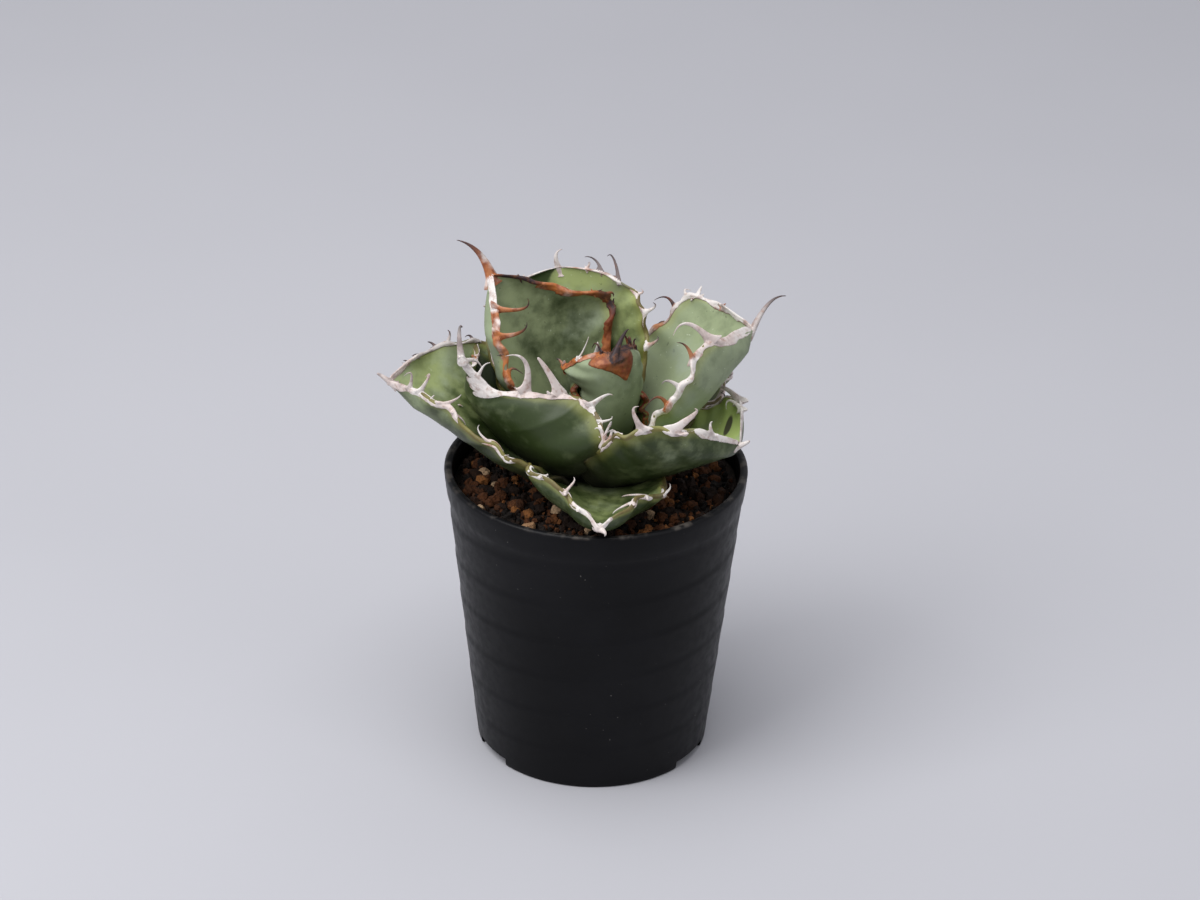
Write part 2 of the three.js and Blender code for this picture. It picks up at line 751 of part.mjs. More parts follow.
// A point of the leaf. across runs from -1 at the right edge to 1 at the left one.
function leafSection(leaf, along, across, grow = 0) {
  const { tangent, side, normal } = leafFrame(leaf, along);
  const hand = across > 0 ? "left" : "right";
  const { wide = EVEN, fold = EVEN } = leaf[hand] ?? {};
  const share = outlineShare(leaf.outline, along);
  const lobe = lobeHeight(leaf.teeth[hand], along) * Math.min(1, share * 2);
  const reach = (leaf.width / 2) * share * keyed(wide, along) + lobe + grow;
  const bend = (degToRad(lerp(leaf.cup[0], leaf.cup[1], along)) / 2) * keyed(fold, along);
  const angle = bend * across;
  const radius = reach / bend;
  const inner = sum(
    [midribPoint(leaf, along), 1],
    [side, radius * Math.sin(angle)],
    [normal, radius * (1 - Math.cos(angle))],
  );
  const inwards = sum([normal, Math.cos(angle)], [side, -Math.sin(angle)]);
  const ahead = sum([side, Math.cos(angle)], [normal, Math.sin(angle)]);
  const outwards = ahead.multiplyScalar(Math.sign(across) || 1);
  const middle = lerp(leaf.thick[0], leaf.thick[1], along);
  const body = lerp(EDGE_THICKNESS, middle, 1 - Math.abs(across) ** 2.2);
  const thickness = body * clamp(share * 2.2, 0.4, 1);
  return { inner, inwards, outwards, tangent, thickness };
}

function leafRing(leaf, along, grow) {
  const innerFace = [];
  const outerFace = [];
  for (let lane = 0; lane <= LEAF_LANES; lane++) {
    const across = (2 * lane) / LEAF_LANES - 1;
    const { inner, inwards, thickness } = leafSection(leaf, along, across, grow);
    innerFace.push(inner.clone().addScaledVector(inwards, grow));
    outerFace.unshift(inner.clone().addScaledVector(inwards, -thickness - grow));
  }
  return [...innerFace, ...outerFace];
}

// Places along a leaf, closer together towards the tip, where the outline turns in.
function placesAlong(leaf) {
  return Array.from({ length: LEAF_STEPS + 1 }, (_, i) => {
    const share = 1 - (1 - i / LEAF_STEPS) ** 1.4;
    return lerp(leaf.from ?? 0, LEAF_END, share);
  });
}

function leafSolid(leaf, grow) {
  const places = placesAlong(leaf);
  places[0] -= grow / leaf.length;
  places[LEAF_STEPS] += grow / leaf.length;
  return leafLoft(places.map((along) => leafRing(leaf, along, grow)));
}

// As loft, but each band is split alike on both faces, and the end caps join the two faces lane by lane.
function leafLoft(rings) {
  const sides = rings[0].length;
  const index = [];
  for (let ring = 0; ring < rings.length - 1; ring++) {
    for (let side = 0; side < sides; side++) {
      const a = ring * sides + side;
      const b = ring * sides + ((side + 1) % sides);
      if (side < sides / 2) index.push(a, b, b + sides, a, b + sides, a + sides);
      else index.push(a, b, a + sides, b, b + sides, a + sides);
    }
  }
  const last = (rings.length - 1) * sides;
  for (let lane = 0; lane < sides / 2 - 1; lane++) {
    const far = sides - 1 - lane;
    index.push(lane, far, lane + 1, far, far - 1, lane + 1);
    index.push(last + lane, last + lane + 1, last + far, last + far, last + lane + 1, last + far - 1);
  }
  const geometry = new THREE.BufferGeometry().setFromPoints(rings.flat());
  geometry.setIndex(index);
  const solid = solidOf(geometry);
  return solid.volume() < 0 ? solidOf(flipped(geometry)) : solid;
}

// ---------------------------------------------------------------- horny margins, teeth and spines

function edgeAt(leaf, hand, along) {
  const { inner, inwards, outwards, tangent, thickness } = leafSection(leaf, along, hand === "left" ? 1 : -1);
  const middle = inner.clone().addScaledVector(inwards, -thickness / 2);
  return { middle, inwards, outwards, tangent, thickness };
}

// A strip that caps the leaf's edge.
function marginStrip(leaf, hand, grow) {
  const places = [...placesAlong(leaf).filter((along) => along > MARGIN.from), 1];
  const rings = places.map((along) => {
    const { middle, inwards, outwards, thickness } = edgeAt(leaf, hand, along);
    const near = MARGIN.standOff - grow;
    const far = MARGIN.standOff + MARGIN.width + grow;
    const half = thickness / 2 + grow;
    return [
      sum([middle, 1], [outwards, near], [inwards, half]),
      sum([middle, 1], [outwards, far]),
      sum([middle, 1], [outwards, near], [inwards, -half]),
    ];
  });
  return loft(rings);
}

// A curved point: it leaves its root along one direction, passes its bend halfway, and ends at its tip.
function thorn(root, leave, bend, tip, breadth, halfWidth, halfThickness, sides, steps) {
  const near = root.clone().addScaledVector(leave, 0.35 * root.distanceTo(bend));
  const far = sum([bend, 8 / 3], [root, -1 / 3], [near, -1], [tip, -1 / 3]);
  const path = new THREE.CubicBezierCurve3(root, near, far, tip);
  let wide = breadth.clone();
  const rings = Array.from({ length: steps + 1 }, (_, i) => {
    const share = i / steps;
    const heading = path.getTangent(share);
    wide = wide.addScaledVector(heading, -wide.dot(heading)).normalize();
    const thick = v3(0, 0, 0).crossVectors(heading, wide);
    const size = Math.max(0.12, (1 - share) ** 0.8);
    const centre = path.getPoint(share);
    return Array.from({ length: sides }, (_, side) => {
      const turn = (side * 2 * Math.PI) / sides;
      const sideways = halfWidth * size * Math.cos(turn);
      const upwards = halfThickness * size * Math.sin(turn);
      return sum([centre, 1], [wide, sideways], [thick, upwards]);
    });
  });
  return loft(rings);
}

function toothSolid(leaf, hand, { along, bend, tip, width }, grow) {
  const { middle, inwards, outwards, tangent } = edgeAt(leaf, hand, along);
  const placed = ([out, on, up]) => sum([middle, 1], [outwards, out], [tangent, on], [inwards, up]);
  const root = placed([MARGIN.standOff + TOOTH_ROOT, 0, 0]);
  const thickness = Math.min(width * 0.3, THICKEST_TOOTH);
  return thorn(root, outwards, placed(bend), placed(tip), tangent, width / 2 + grow, thickness + grow, 3, 2);
}

function endSpine(leaf, grow) {
  const { tangent, side, normal } = leafFrame(leaf, 1);
  const end = midribPoint(leaf, 1);
  const placed = ([on, left, up]) => sum([end, 1], [tangent, on], [side, left], [normal, up]);
  const root = midribPoint(leaf, LEAF_END + (CLEARANCE + 0.1 - grow) / leaf.length);
  const { halfWidth, halfThickness } = SPINE_ROOT;
  const { bend, tip } = leaf.spine;
  return thorn(root, tangent, placed(bend), placed(tip), side, halfWidth + grow, halfThickness + grow, 5, 4);
}

function hornSolid(leaf, grow) {
  let horn = endSpine(leaf, grow);
  for (const hand of ["left", "right"]) {
    horn = horn.add(marginStrip(leaf, hand, grow));
    for (const one of leaf.teeth[hand]) horn = horn.add(toothSolid(leaf, hand, one, grow));
  }
  return horn;
}

// ---------------------------------------------------------------- assembly

const plant = new THREE.Group();
plant.position.set(POT_AXIS[0], POT_AXIS[1], 0);

function place(name, solid, finishName) {
  const mesh = new THREE.Mesh(geometryOf(mainBody(solid)), FINISHES[finishName]);
  mesh.name = name;
  plant.add(mesh);
}

// The leaves are listed from the heart outwards, and each is shaped round those before it.
const taken = [stemSolid(CLEARANCE), budSolid(CLEARANCE)];
place("stem", stemSolid(0), "stem");
place("bud", budSolid(0), "youngLeaf");
for (const leaf of LEAVES) {
  const body = leafSolid(leaf, 0);
  const bodyRoom = leafSolid(leaf, CLEARANCE);
  place("leaf_" + leaf.name, cutBy(body, taken), leaf.finish);
  place("horn_" + leaf.name, cutBy(hornSolid(leaf, 0), [bodyRoom, ...taken]), leaf.horn);
  taken.push(bodyRoom, hornSolid(leaf, CLEARANCE));
}
place("soil", cutBy(soilSolid(), taken), "soil");
place("pot", potSolid(), "pot");

const pottedAgave = new THREE.Group();
pottedAgave.add(plant);
export default pottedAgave;
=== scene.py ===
"""Potted agave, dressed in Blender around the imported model: camera, light, pot, soil, leaves and horn."""
import math

import bmesh
import bpy
import numpy as np
from mathutils import Matrix, Vector, noise
from mathutils.kdtree import KDTree


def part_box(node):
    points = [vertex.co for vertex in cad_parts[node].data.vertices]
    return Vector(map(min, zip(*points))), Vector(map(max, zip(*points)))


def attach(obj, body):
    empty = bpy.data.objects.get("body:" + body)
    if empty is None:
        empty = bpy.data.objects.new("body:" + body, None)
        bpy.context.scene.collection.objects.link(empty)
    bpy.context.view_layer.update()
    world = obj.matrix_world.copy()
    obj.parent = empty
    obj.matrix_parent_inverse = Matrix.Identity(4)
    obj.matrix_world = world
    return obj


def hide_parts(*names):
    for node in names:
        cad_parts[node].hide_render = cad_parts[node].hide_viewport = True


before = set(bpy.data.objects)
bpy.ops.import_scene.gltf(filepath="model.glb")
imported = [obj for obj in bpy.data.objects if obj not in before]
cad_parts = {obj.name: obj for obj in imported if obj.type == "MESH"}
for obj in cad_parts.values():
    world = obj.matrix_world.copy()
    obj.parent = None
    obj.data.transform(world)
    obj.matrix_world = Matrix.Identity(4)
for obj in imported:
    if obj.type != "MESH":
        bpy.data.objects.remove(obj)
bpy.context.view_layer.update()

# ---------------------------------------------------------------- driving sizes, in millimetres and degrees

MM = 0.001
POT_LOW, POT_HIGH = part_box("pot")
POT_AXIS = Vector(((POT_LOW.x + POT_HIGH.x) / 2, (POT_LOW.y + POT_HIGH.y) / 2, 0))

CAMERA = {"elevation": 28.0, "distance": 1400.0, "right": 1.25, "up": 99.0, "roll": 1.03, "lens": 117.2}
LIGHT_AIM = (0, 0, 0.1)  # in metres, as the lights' places and sizes are
LIGHTS = [
    ("softbox_left", (-0.85, -0.6, 1.2), (0.9, 0.9), 14), ("softbox_top", (-0.2, -0.2, 1.5), (1.2, 1.0), 14),
    ("fill_right", (1.1, -0.8, 0.7), (0.8, 0.8), 2),
]
FLOOR_HALF = 4.0  # in metres

POT = {
    "height": 106.5, "rim_radius": 52.5, "neck_radius": 50.6, "neck_height": 94.0, "foot_radius": 40.6,
    "foot_width": 3.4, "foot_round": 0.9, "wall": 1.9, "floor_under": 3.4, "floor_top": 5.2,
}
RINGS = {"pitch": 15.4, "first": 90.5, "proud": 0.36, "fade_height": 60.0, "ledge": 0.12}
NOTCH = {"count": 3, "first": 90.0, "angle": 25.0, "height": 3.1, "depth": 8.0, "inset": 1.7}
DRAINS = {"count": 6, "circle": 24.0, "radius": 4.0, "middle": 5.0, "depth": 12.0}
POT_SEGMENTS = 240

SOIL = {"level": 100.0, "mound": 1.6, "rough": 0.7, "inner": 9.0, "clear": 0.35, "under": 0.9}
COARSE = {"density": 62000.0, "small": 0.45, "large": 1.15, "size": 2.4, "seed": 4, "pale": (0.3, 1.0)}
FINE = {"density": 230000.0, "small": 0.4, "large": 1.1, "size": 1.15, "seed": 9, "pale": (0.0, 0.9)}

LEAF_ALONG = 110  # rows of points from a leaf's foot to its tip
LEAF_ACROSS = 36  # points over each of its faces
EDGE_ROUND = 5  # points round each of its edges
LEAF_END = 0.992  # where the last row is, just short of the tip
KEYS = (0.3, 0.6, 0.85)  # where a leaf's widths and folds are given along it
EDGE_THICKNESS = 1.6
LOBE = {"height": 1.4, "spread": 0.04}
RIPPLE = 0.7
SWELL = {"size": 0.35, "scale": 0.06, "shifts": (0.0, 17.3, 41.9)}
SHEET = {"lift": 0.34, "uneven": 0.3, "sunk": 0.25, "under": 0.35, "ragged": 0.35}
PLATE = {"lift": 0.36, "uneven": 0.3, "under": 0.4}
THORN = {
    "taper": 1.05, "blade": 0.62, "foot_reach": 0.16, "least_wide": 0.15, "ridge": 0.85, "swell": 0.3,
    "swell_reach": 0.1, "least_thick": 0.17,
}
SPINE_FROM = 0.95  # where an end spine leaves the leaf
VOXEL = 0.2

BUD = {"foot": 107.4, "height": 42.0, "radius": 6.2, "rings": 60, "sides": 40}


# ---------------------------------------------------------------- leaves and their teeth

def tooth(along, bend, tip, width, tone=0.0):
    """A tooth on a leaf's edge: its bend and tip are given out of the edge, towards the leaf's tip and up."""
    return {"along": along, "bend": bend, "tip": tip, "width": width, "tone": tone}


def strip(start, end, inner, outer, tone):
    """Horn spread over a stretch of the edge, this far on to the inner and the outer face."""
    return {"start": start, "end": end, "inner": inner, "outer": outer, "tone": tone}


def leaf(name, finish, heading, rise, start, length, width, cup, thick, left, right, **more):
    """A leaf's driving values. What is given for its two hands comes as a pair, the left hand first."""
    shape = {
        "name": name, "finish": finish, "heading": heading, "rise": rise, "start": start, "length": length,
        "width": width, "cup": cup, "thick": thick, "lean": 0.0, "sweep": 0.0, "roll": 0.0, "begin": 0.0,
        "wide": [(1, 1, 1)] * 2, "fold": [(1, 1, 1)] * 2, "strips": [[], []], "plate": [], "plate_tone": 0.0,
        "band": [0.8, 0.8], "tone": 0.0, "spine_tone": 0.0, "spine_width": 2.4, "light": (0.5, 0.5),
        "light_left": None, "fade": 0.2, "bloom": (0.0, 1.0), "blotches": [], **more,
    }
    shape["teeth"] = [[tooth(*row) for row in rows] for rows in (left, right)]
    shape["strips"] = [[strip(*row) for row in rows] for rows in shape["strips"]]
    for key in ("wide", "fold", "strips", "teeth", "band"):
        shape[key] = dict(zip(("left", "right"), shape[key]))
    return shape


SMALL_TOOTH = (2.5, 0, 0.5), (4, -2, 1), 3
LOW_LEAF = {"outline": (0.5, 0.6, 1.8, 0.8), "band": [0.5, 0.5], "light": (0.5, 0.4), "begin": 0.1}
# Each leaf's light pair (inner face, outer face) and fade set its green from deep to pale: partly the leaf's
# own colour, partly painted light and shade.
LEAVES = [
    leaf(
        "heart_front", "young", 296, (75, 90), (4, 2.5, 111.5), 44, 34, (176, 182), (5, 3),
        outline=(0.5, 0.66, 2.5, 0.7), lean=1, sweep=-12,
        wide=[(0.9, 1, 0.85), (0.8, 0.9, 1.2)], fold=[(1.4, 0.95, 0.85), (1.2, 1.4, 0.9)],
        spine=((2.5, 3.5, 0), (6, 7.5, 0)), spine_tone=0.9,
        left=[
            (0.84, (1.5, 1, 0), (2.5, 2.5, 0), 2.6, 0.85), (0.9, (0.5, 2.5, 0.5), (-1, 6, 2), 6.5, 0.75),
            (0.8, (1.5, 2, 0), (1, 4.5, -1), 5, 0.85),
        ],
        right=[
            (0.93, (-1, 1.5, 1), (-2, 8, 5), 2.6), (0.99, (1.5, 2.5, 0), (3.5, 1, -1.5), 2, 0.9),
            (0.83, (2.5, 0.5, 0.5), (4, 1.5, -0.5), 4, 0.3),
        ],
        strips=[[(0.68, 1, 2.2, 2, 0.85)], [(0.78, 1, 2, 1.5, 0.6)]],
        plate=[
            (0.765, 0.1, 0.16), (0.82, 0, 0.26), (0.87, -0.12, 0.4), (0.91, -0.3, 0.55),
            (0.94, -0.62, 0.72), (1, -1, 1),
        ],
        plate_tone=0.68,
        tone=0.6, light=(0.5, 0.9), fade=-0.25,
    ),
    leaf(
        "heart_back", "young", 105, (84, 96), (4, 3.5, 108), 40, 36, (150, 180), (4, 2.5),
        outline=(0.7, 0.55, 2.0, 0.8), lean=4,
        spine=((2, 0, 0.5), (5, 0, 0.5)),
        left=[(0.85, (1.5, 0.5, 0), (3, 2, 0), 2.4, 0.7), (0.66, (1.5, 0.5, 0), (3, 1, 0), 2.4, 0.7)],
        right=[(0.85, (1.5, 0.5, 0), (3, 2, 0), 2.4, 0.7), (0.66, (1.5, 0.5, 0), (3, 1, 0), 2.4, 0.7)],
        tone=0.7, light=(0.7, 0.5),
    ),
    leaf(
        "back_left", "old", 124, (62, 77), (6.5, 1.5, 106.5), 75, 62, (80, 110), (7, 3),
        outline=(0.48, 0.62, 1.05, 0.8), lean=21, sweep=-4, roll=2,
        wide=[(1, 0.8, 1), (0.85, 1.05, 1)], fold=[(1.75, 1.65, 1.75), (0.9, 0.8, 1)],
        spine=((5, -0.5, -1.5), (15, 3.5, -7)), spine_tone=0.42, spine_width=4.4,
        left=[
            (0.9, (6.5, -2, 3.5), (11, 1, 7), 4, 0.5), (0.81, (5, -1, 3.5), (10, 2, 7.5), 4.5, 0.5),
            (0.75, (0.5, -1, 0), (-2, -1.5, -2), 2, 0.3), (0.61, (0.5, 3, 1.5), (3.5, 0.5, 4.5), 4, 0.55),
        ],
        right=[
            (0.93, (0.5, 0, 0), (3, -1, -0.5), 3, 0.85), (0.68, (0.5, 0, 0), (3, 0, 0), 3, 0.5),
            (0.64, (2, 0, 0), (2.5, -2, 0), 3, 0.6), (0.55, (1, 1.5, -0.5), (2.5, 3.5, -0.5), 3, 0.9),
        ],
        strips=[
            [(0.9, 1, 1.4, 1.6, -0.1), (0.7, 0.9, 1.8, 1.4, 0.42), (0.57, 0.66, 1.6, 1, 0.5)],
            [
                (0.86, 1, 0.8, 0.6, 0.8), (0.7, 0.86, 3, 1.6, 0.6), (0.6, 0.7, 2.2, 2, 0.62),
                (0.52, 0.6, 1, 1.6, 0.8), (0.36, 0.53, 2.8, 1, 0.7),
            ],
        ],
        tone=0.45, light=(0.6, 0.9), light_left=0.92, fade=0.1, bloom=(0.6, 0.95),
    ),
    leaf(
        "back", "young", 92, (64, 72), (7.5, -3, 104), 68, 56, (94, 52), (7, 3),
        outline=(0.53, 0.65, 2.5, 0.63), lean=9.5, sweep=-4, roll=-3,
        spine=((2, 1, 0), (6, -1.5, -0.5)),
        left=[(0.96, (1.5, 0.5, 0), (2.5, 1.5, 0), 2.5), (0.84, (1.5, 0.5, 0), (2.5, 1, 0), 2.4)],
        right=[
            (0.98, (1, 1.5, 0), (0.5, 2, 0), 2, 0.2), (0.96, (-1, 3, 0), (-5.5, 5.5, 1), 2.6, -0.5),
            (0.91, (0, 5.5, 0), (-3, 8.5, 0), 2.6, -0.5), (0.83, (1.5, 0, -0.5), (1.5, 1.5, -0.5), 2, 0.1),
            (0.73, (3, 1, -0.5), (3, 3, -1), 2.5, 0.3), (0.55, (3, 1, -0.5), (4, 3, -1), 2.5, 0.3),
        ],
        strips=[[(0.94, 1, 0.6, 0.6, 0)], []],
        band=[0.4, 0.32], tone=0.25, light=(0.66, 0.4), light_left=0.2, fade=0.8,
    ),
    leaf(
        "right", "old", 21, (43, 43), (5.5, 0, 108), 67, 67, (88, 105), (8, 4),
        outline=(0.43, 0.63, 2.05, 0.95), lean=-2, sweep=-10, roll=-9, begin=0.04,
        wide=[(1.2, 0.9, 1.15), (1.15, 1.1, 1.2)], fold=[(1.1, 0.75, 0.75), (1.05, 1.1, 1.5)],
        spine=((5.5, 1.5, 1.5), (15.5, 3, 0)), spine_tone=-0.3, spine_width=3.6,
        left=[
            (0.91, (1, -0.5, 0), (0, 0.5, 0), 2, 0.4), (0.83, (1, 2, 0), (2, 3.5, 0), 3.5),
            (0.79, (2, 0.5, 0.5), (1, 2.5, 0), 2.5), (0.71, (3.5, 0.5, 0.5), (7, -4, 1.5), 2.6, 0.9),
            (0.59, (0.5, 1, 0), (0, 3.5, 0), 2.4, 0.8), (0.53, (1, -2, 0), (-1, -4.5, 0), 2.4, 0.15),
            (0.48, (1, -2, 0.5), (0, -5, 0.5), 2.4, 0.15),
        ],
        right=[
            (0.86, (8, -0.5, 2.5), (11, -8, 2.5), 5), (0.74, (3.5, 1.5, 1.5), (8.5, 0.5, 3.5), 3.4, 0.35),
            (0.59, (3, -0.5, 2), (5, -3.5, 3), 3.2, 0.2), (0.47, (3, 0.5, 2.5), (5, -6, 3), 3, 0.6),
        ],
        strips=[
            [(0.86, 1, 4, 2, 0.15), (0.76, 0.86, 1.2, 0.8, 0), (0.44, 0.62, 1, 0.5, 0.3)],
            [(0.86, 1, 4, 2.5, 0.1), (0.7, 0.8, 1.2, 1, 0.3), (0.42, 0.62, 1, 0.8, 0.3)],
        ],
        tone=0.1, light=(0.98, 0.98), fade=-0.25, bloom=(0.8, 1),
    ),
    leaf(
        "left", "old", 180, (33, 22), (6, 0, 105), 74, 64, (90, 110), (8, 3.5),
        outline=(0.55, 0.5, 1.5, 0.84), lean=1, sweep=5, roll=-6, begin=0.05,
        wide=[(1.2, 0.95, 0.9), (1, 1, 1)], fold=[(0.8, 0.8, 1.25), (1, 1, 1)],
        spine=((1.5, -0.5, 0.5), (4, -1, 0.5)),
        left=[
            (0.92, (4, 1, 2), (3, 3.5, 2), 2.2), (0.88, (5, -0.5, 2.5), (5.5, 0.5, 3), 2.6),
            (0.83, (1, 0, 0.5), (2, -0.5, 1), 1.6), (0.78, (2, -2, 1), (6, -4, 3), 3.6),
            (0.72, (0, -2, -0.5), (-1, -5, -2), 2.4), (0.54, (-0.5, 3, 1), (0, 5.5, 4), 2.4),
            (0.49, (-0.5, 1.5, 0), (-0.5, 2.5, 0), 2), (0.43, (-0.5, 2, 0), (0.5, 1, 1.5), 2),
        ],
        right=[
            (0.93, (0.5, 0, 0), (0.5, 1.5, 0), 2.2, -0.4), (0.89, (0.5, 0, 0), (0, 1.5, 0), 2.4, -0.6),
            (0.81, (0.5, 1.5, 0), (0.5, 3.5, -0.5), 2.4, -0.6),
            (0.77, (2.5, 0, 0), (4.5, 1.5, 0), 2.6, -0.3), (0.66, (1, 1, 0), (0, 3, 0), 2.4, -0.6),
        ],
        strips=[
            [(0.93, 1, 3.2, 2.4, 0), (0.7, 0.8, 0.9, 0, 0.05)],
            [(0.92, 1, 2.4, 2.2, 0), (0.62, 0.9, 0.3, 0.5, -0.3)],
        ],
        band=[0.1, 0.3], tone=0.2, light=(0.52, 0.25), fade=0.6, bloom=(0.1, 0.8),
        blotches=[(0.91, 0.35, 0.035, 0.45)],
    ),
    leaf(
        "front_left", "old", 200, (37, 66), (8.5, 0, 106), 68.5, 70, (72, 118), (9, 3.8),
        outline=(0.25, 0.57, 0.85, 1.5), sweep=12, roll=8, begin=0.05,
        wide=[(1.4, 1, 0.6), (0.95, 1.15, 0.8)], fold=[(1, 1.6, 0.6), (1, 0.85, 0.8)],
        spine=((4, -2.5, 2.5), (6.5, -3.5, 5.5)), spine_tone=-0.25,
        left=[
            (0.86, (1.5, 2, 1.5), (5, 3.5, 3.5), 2.4), (0.7, (5.5, 6, 2.5), (1.5, 14, 4.5), 6),
            (0.62, (2.5, 9, 2.5), (2.5, 13.5, 4), 6), (0.51, (4.5, 0, 0.5), (8.5, -2, 0.5), 4.5),
            (0.44, (2.5, -1, 0), (4.5, -0.5, 0.5), 2), (0.37, (0.5, 2.5, 1), (-1, 4.5, 1), 2.6),
            (0.21, (0, 3.5, 1), (-2, 5, 1), 2.4),
        ],
        right=[(0.92, (2, -1.5, 1.5), (2, -6.5, 3.5), 3.6), (0.7, (2, -1, 0), (4, -2, 0), 3, 0.3)],
        strips=[
            [
                (0.755, 0.79, 1.2, 8, 0.05), (0.79, 0.86, 1.6, 5.5, 0.05), (0.86, 1, 2, 2.6, 0.05),
                (0.66, 0.72, 1, 1.2, 0.05), (0.48, 0.56, 1.4, 1.2, 0.05),
            ],
            [(0.84, 1, 3, 1.5, 0.05)],
        ],
        band=[0.5, 0.6], light=(0.1, 0.1), bloom=(0, 0.5),
    ),
    leaf(
        "front_right", "old", 337, (24, 22), (4.5, 0, 106.5), 52, 56, (84, 107), (9, 4),
        outline=(0.73, 0.55, 2.6, 0.78), sweep=2, roll=-11, begin=0.08,
        wide=[(1, 0.95, 1.2), (1.4, 1.5, 1.45)], fold=[(0.9, 0.9, 1.05), (0.8, 0.95, 1)],
        spine=((1.5, 0.5, -1), (2.5, 1, -0.5)),
        left=[
            (0.92, (3.5, -3, 1), (1, -5.5, 1), 3), (0.88, (5, -4, 1.5), (4.5, -10, 3), 4.5),
            (0.68, (1.5, 1, 0), (3.5, 0, 1), 2, 0.9),
        ],
        right=[
            (0.95, (2.5, 0.5, 1), (4, 2, 2), 3), (0.84, (2, 6, 2.5), (4.5, 9.5, 4.5), 6.5),
            (0.71, (5, -0.5, 2), (7.5, 2, 4), 5), (0.56, (1, -0.5, 0.5), (2.5, -1, 0.5), 2.4),
            (0.49, (2, 2, 2), (2.5, -0.5, 1), 2, 0.2), (0.43, (4, 4, 4), (4, 5, 4.5), 2, 0.2),
        ],
        strips=[
            [(0.85, 1, 2.6, 1.2, 0.05)],
            [(0.66, 0.755, 1.4, 1.2, 0), (0.79, 0.875, 1.4, 1.2, 0), (0.905, 1, 2.2, 2, 0.05)],
        ],
        # Its inner light value of 2.2 is painted light: the inner face is painted paler than its own green to
        # stand in for light that the leaves above keep off it.
        band=[0.6, 0.1], light=(2.2, 0.17), fade=0.2, bloom=(0, 0.5), blotches=[(0.81, 0.55, 0.03, 0.22)],
    ),
    leaf(
        "low_back", "old", 104, (18, 30), (6, 0, 104), 66, 56, (90, 100), (8, 3.5),
        spine=((3, 0, -0.5), (7, 0, -2)),
        left=[(0.88, *SMALL_TOOTH), (0.74, (3, -0.5, 0.5), (5, -2.5, 1.5), 3), (0.58, *SMALL_TOOTH)],
        right=[(0.9, *SMALL_TOOTH), (0.77, (3, -0.5, 0.5), (4.5, -3, 1.5), 3), (0.62, *SMALL_TOOTH)],
        **LOW_LEAF,
    ),
    leaf(
        "low_right", "old", 56, (12, 26), (6, 0, 105), 64, 54, (90, 100), (8, 3.5),
        spine=((3, 0, -0.5), (6, 0, -2)),
        left=[(0.88, *SMALL_TOOTH), (0.73, (3, 0, 0.5), (4.5, -2, 1), 3), (0.57, *SMALL_TOOTH)],
        right=[(0.9, *SMALL_TOOTH), (0.76, (3, -0.5, 0.5), (4.5, -3, 1), 3), (0.6, *SMALL_TOOTH)],
        **LOW_LEAF,
    ),
    leaf(
        "low_left", "old", 146, (14, 22), (6, 0, 104), 66, 54, (90, 100), (8, 3.5),
        spine=((3, 0, -0.5), (6, 0, -2)),
        left=[(0.88, *SMALL_TOOTH), (0.75, (3, -0.5, 0.5), (4.5, -3, 1), 3), (0.6, *SMALL_TOOTH)],
        right=[(0.89, *SMALL_TOOTH), (0.74, (3, -0.5, 0.5), (4, -3, 1), 3), (0.58, *SMALL_TOOTH)],
        **LOW_LEAF,
    ),
    leaf(
        "front", "old", 273, (7, 6), (3.6, 0, 106.8), 54, 49, (44, 118), (7, 4),
        outline=(0.5, 0.57, 1.35, 0.95), sweep=-5, roll=-5.5, begin=0.08,
        wide=[(1, 0.88, 0.9), (0.95, 1.15, 1)], fold=[(1, 0.85, 1.35), (0.85, 1.1, 1.25)],
        spine=((0.5, 1.5, -0.5), (1, 2, -2)),
        left=[
            (0.82, (-3, 0, 2.5), (-7, 0.5, 4.5), 3), (0.74, (-2.5, -1.5, 3), (-6.5, -2.5, 6), 3.4),
            (0.61, (1.5, -0.5, 0), (3, -2, 1.5), 2.8),
        ],
        right=[
            (0.9, (-1.5, 0, 2), (-4, 0.5, 3.5), 3), (0.81, (1, -1.5, 2.5), (3, -3, 4), 3.6),
            (0.69, (-1, -0.5, 1.5), (-1, -1, 2.5), 2.6), (0.63, (0, -0.5, 1), (-1, -0.5, 1.5), 2.4),
        ],
        strips=[[(0.93, 1, 1.2, 0.4, 0)], [(0.86, 1, 1.2, 0.2, 0)]],
        band=[0.1, 0.1], tone=0.1, light=(0.33, 0.15), bloom=(0, 0.6),
    ),
]


# ---------------------------------------------------------------- small helpers

def lerp(a, b, share):
    return a + (b - a) * share


def put(name, data):
    """An object in the scene for this mesh, camera or light."""
    thing = bpy.data.objects.new(name, data)
    bpy.context.scene.collection.objects.link(thing)
    return thing


def in_place(points):
    """Points in millimetres about the pot's axis, as the scene holds them."""
    return (np.asarray(points) * MM + np.array(POT_AXIS)).tolist()


def keep(mesh, key, values):
    """Keeps one number for each point of the mesh."""
    mesh.attributes.new(key, "FLOAT", "POINT").data.foreach_set("value", np.asarray(values, np.float32))


def shade_smooth(mesh, smooth=True):
    mesh.polygons.foreach_set("use_smooth", [smooth] * len(mesh.polygons))


def smooth_object(name, points, faces, attributes=None):
    """A smooth-shaded mesh object from points in millimetres about the pot's axis."""
    mesh = bpy.data.meshes.new(name)
    mesh.from_pydata(in_place(points), [], [tuple(f) for f in faces])
    for key, values in (attributes or {}).items():
        keep(mesh, key, values)
    mesh.validate()
    thing = put(name, mesh)
    face_outwards(mesh)
    shade_smooth(mesh)
    return thing


def rework(mesh, change):
    work = bmesh.new()
    work.from_mesh(mesh)
    change(work)
    work.to_mesh(mesh)
    work.free()


def face_outwards(mesh):
    rework(mesh, lambda work: bmesh.ops.recalc_face_normals(work, faces=work.faces))


def weld(mesh, distance):
    """Joins points that are closer than this, in metres."""
    rework(mesh, lambda work: bmesh.ops.remove_doubles(work, verts=work.verts, dist=distance))


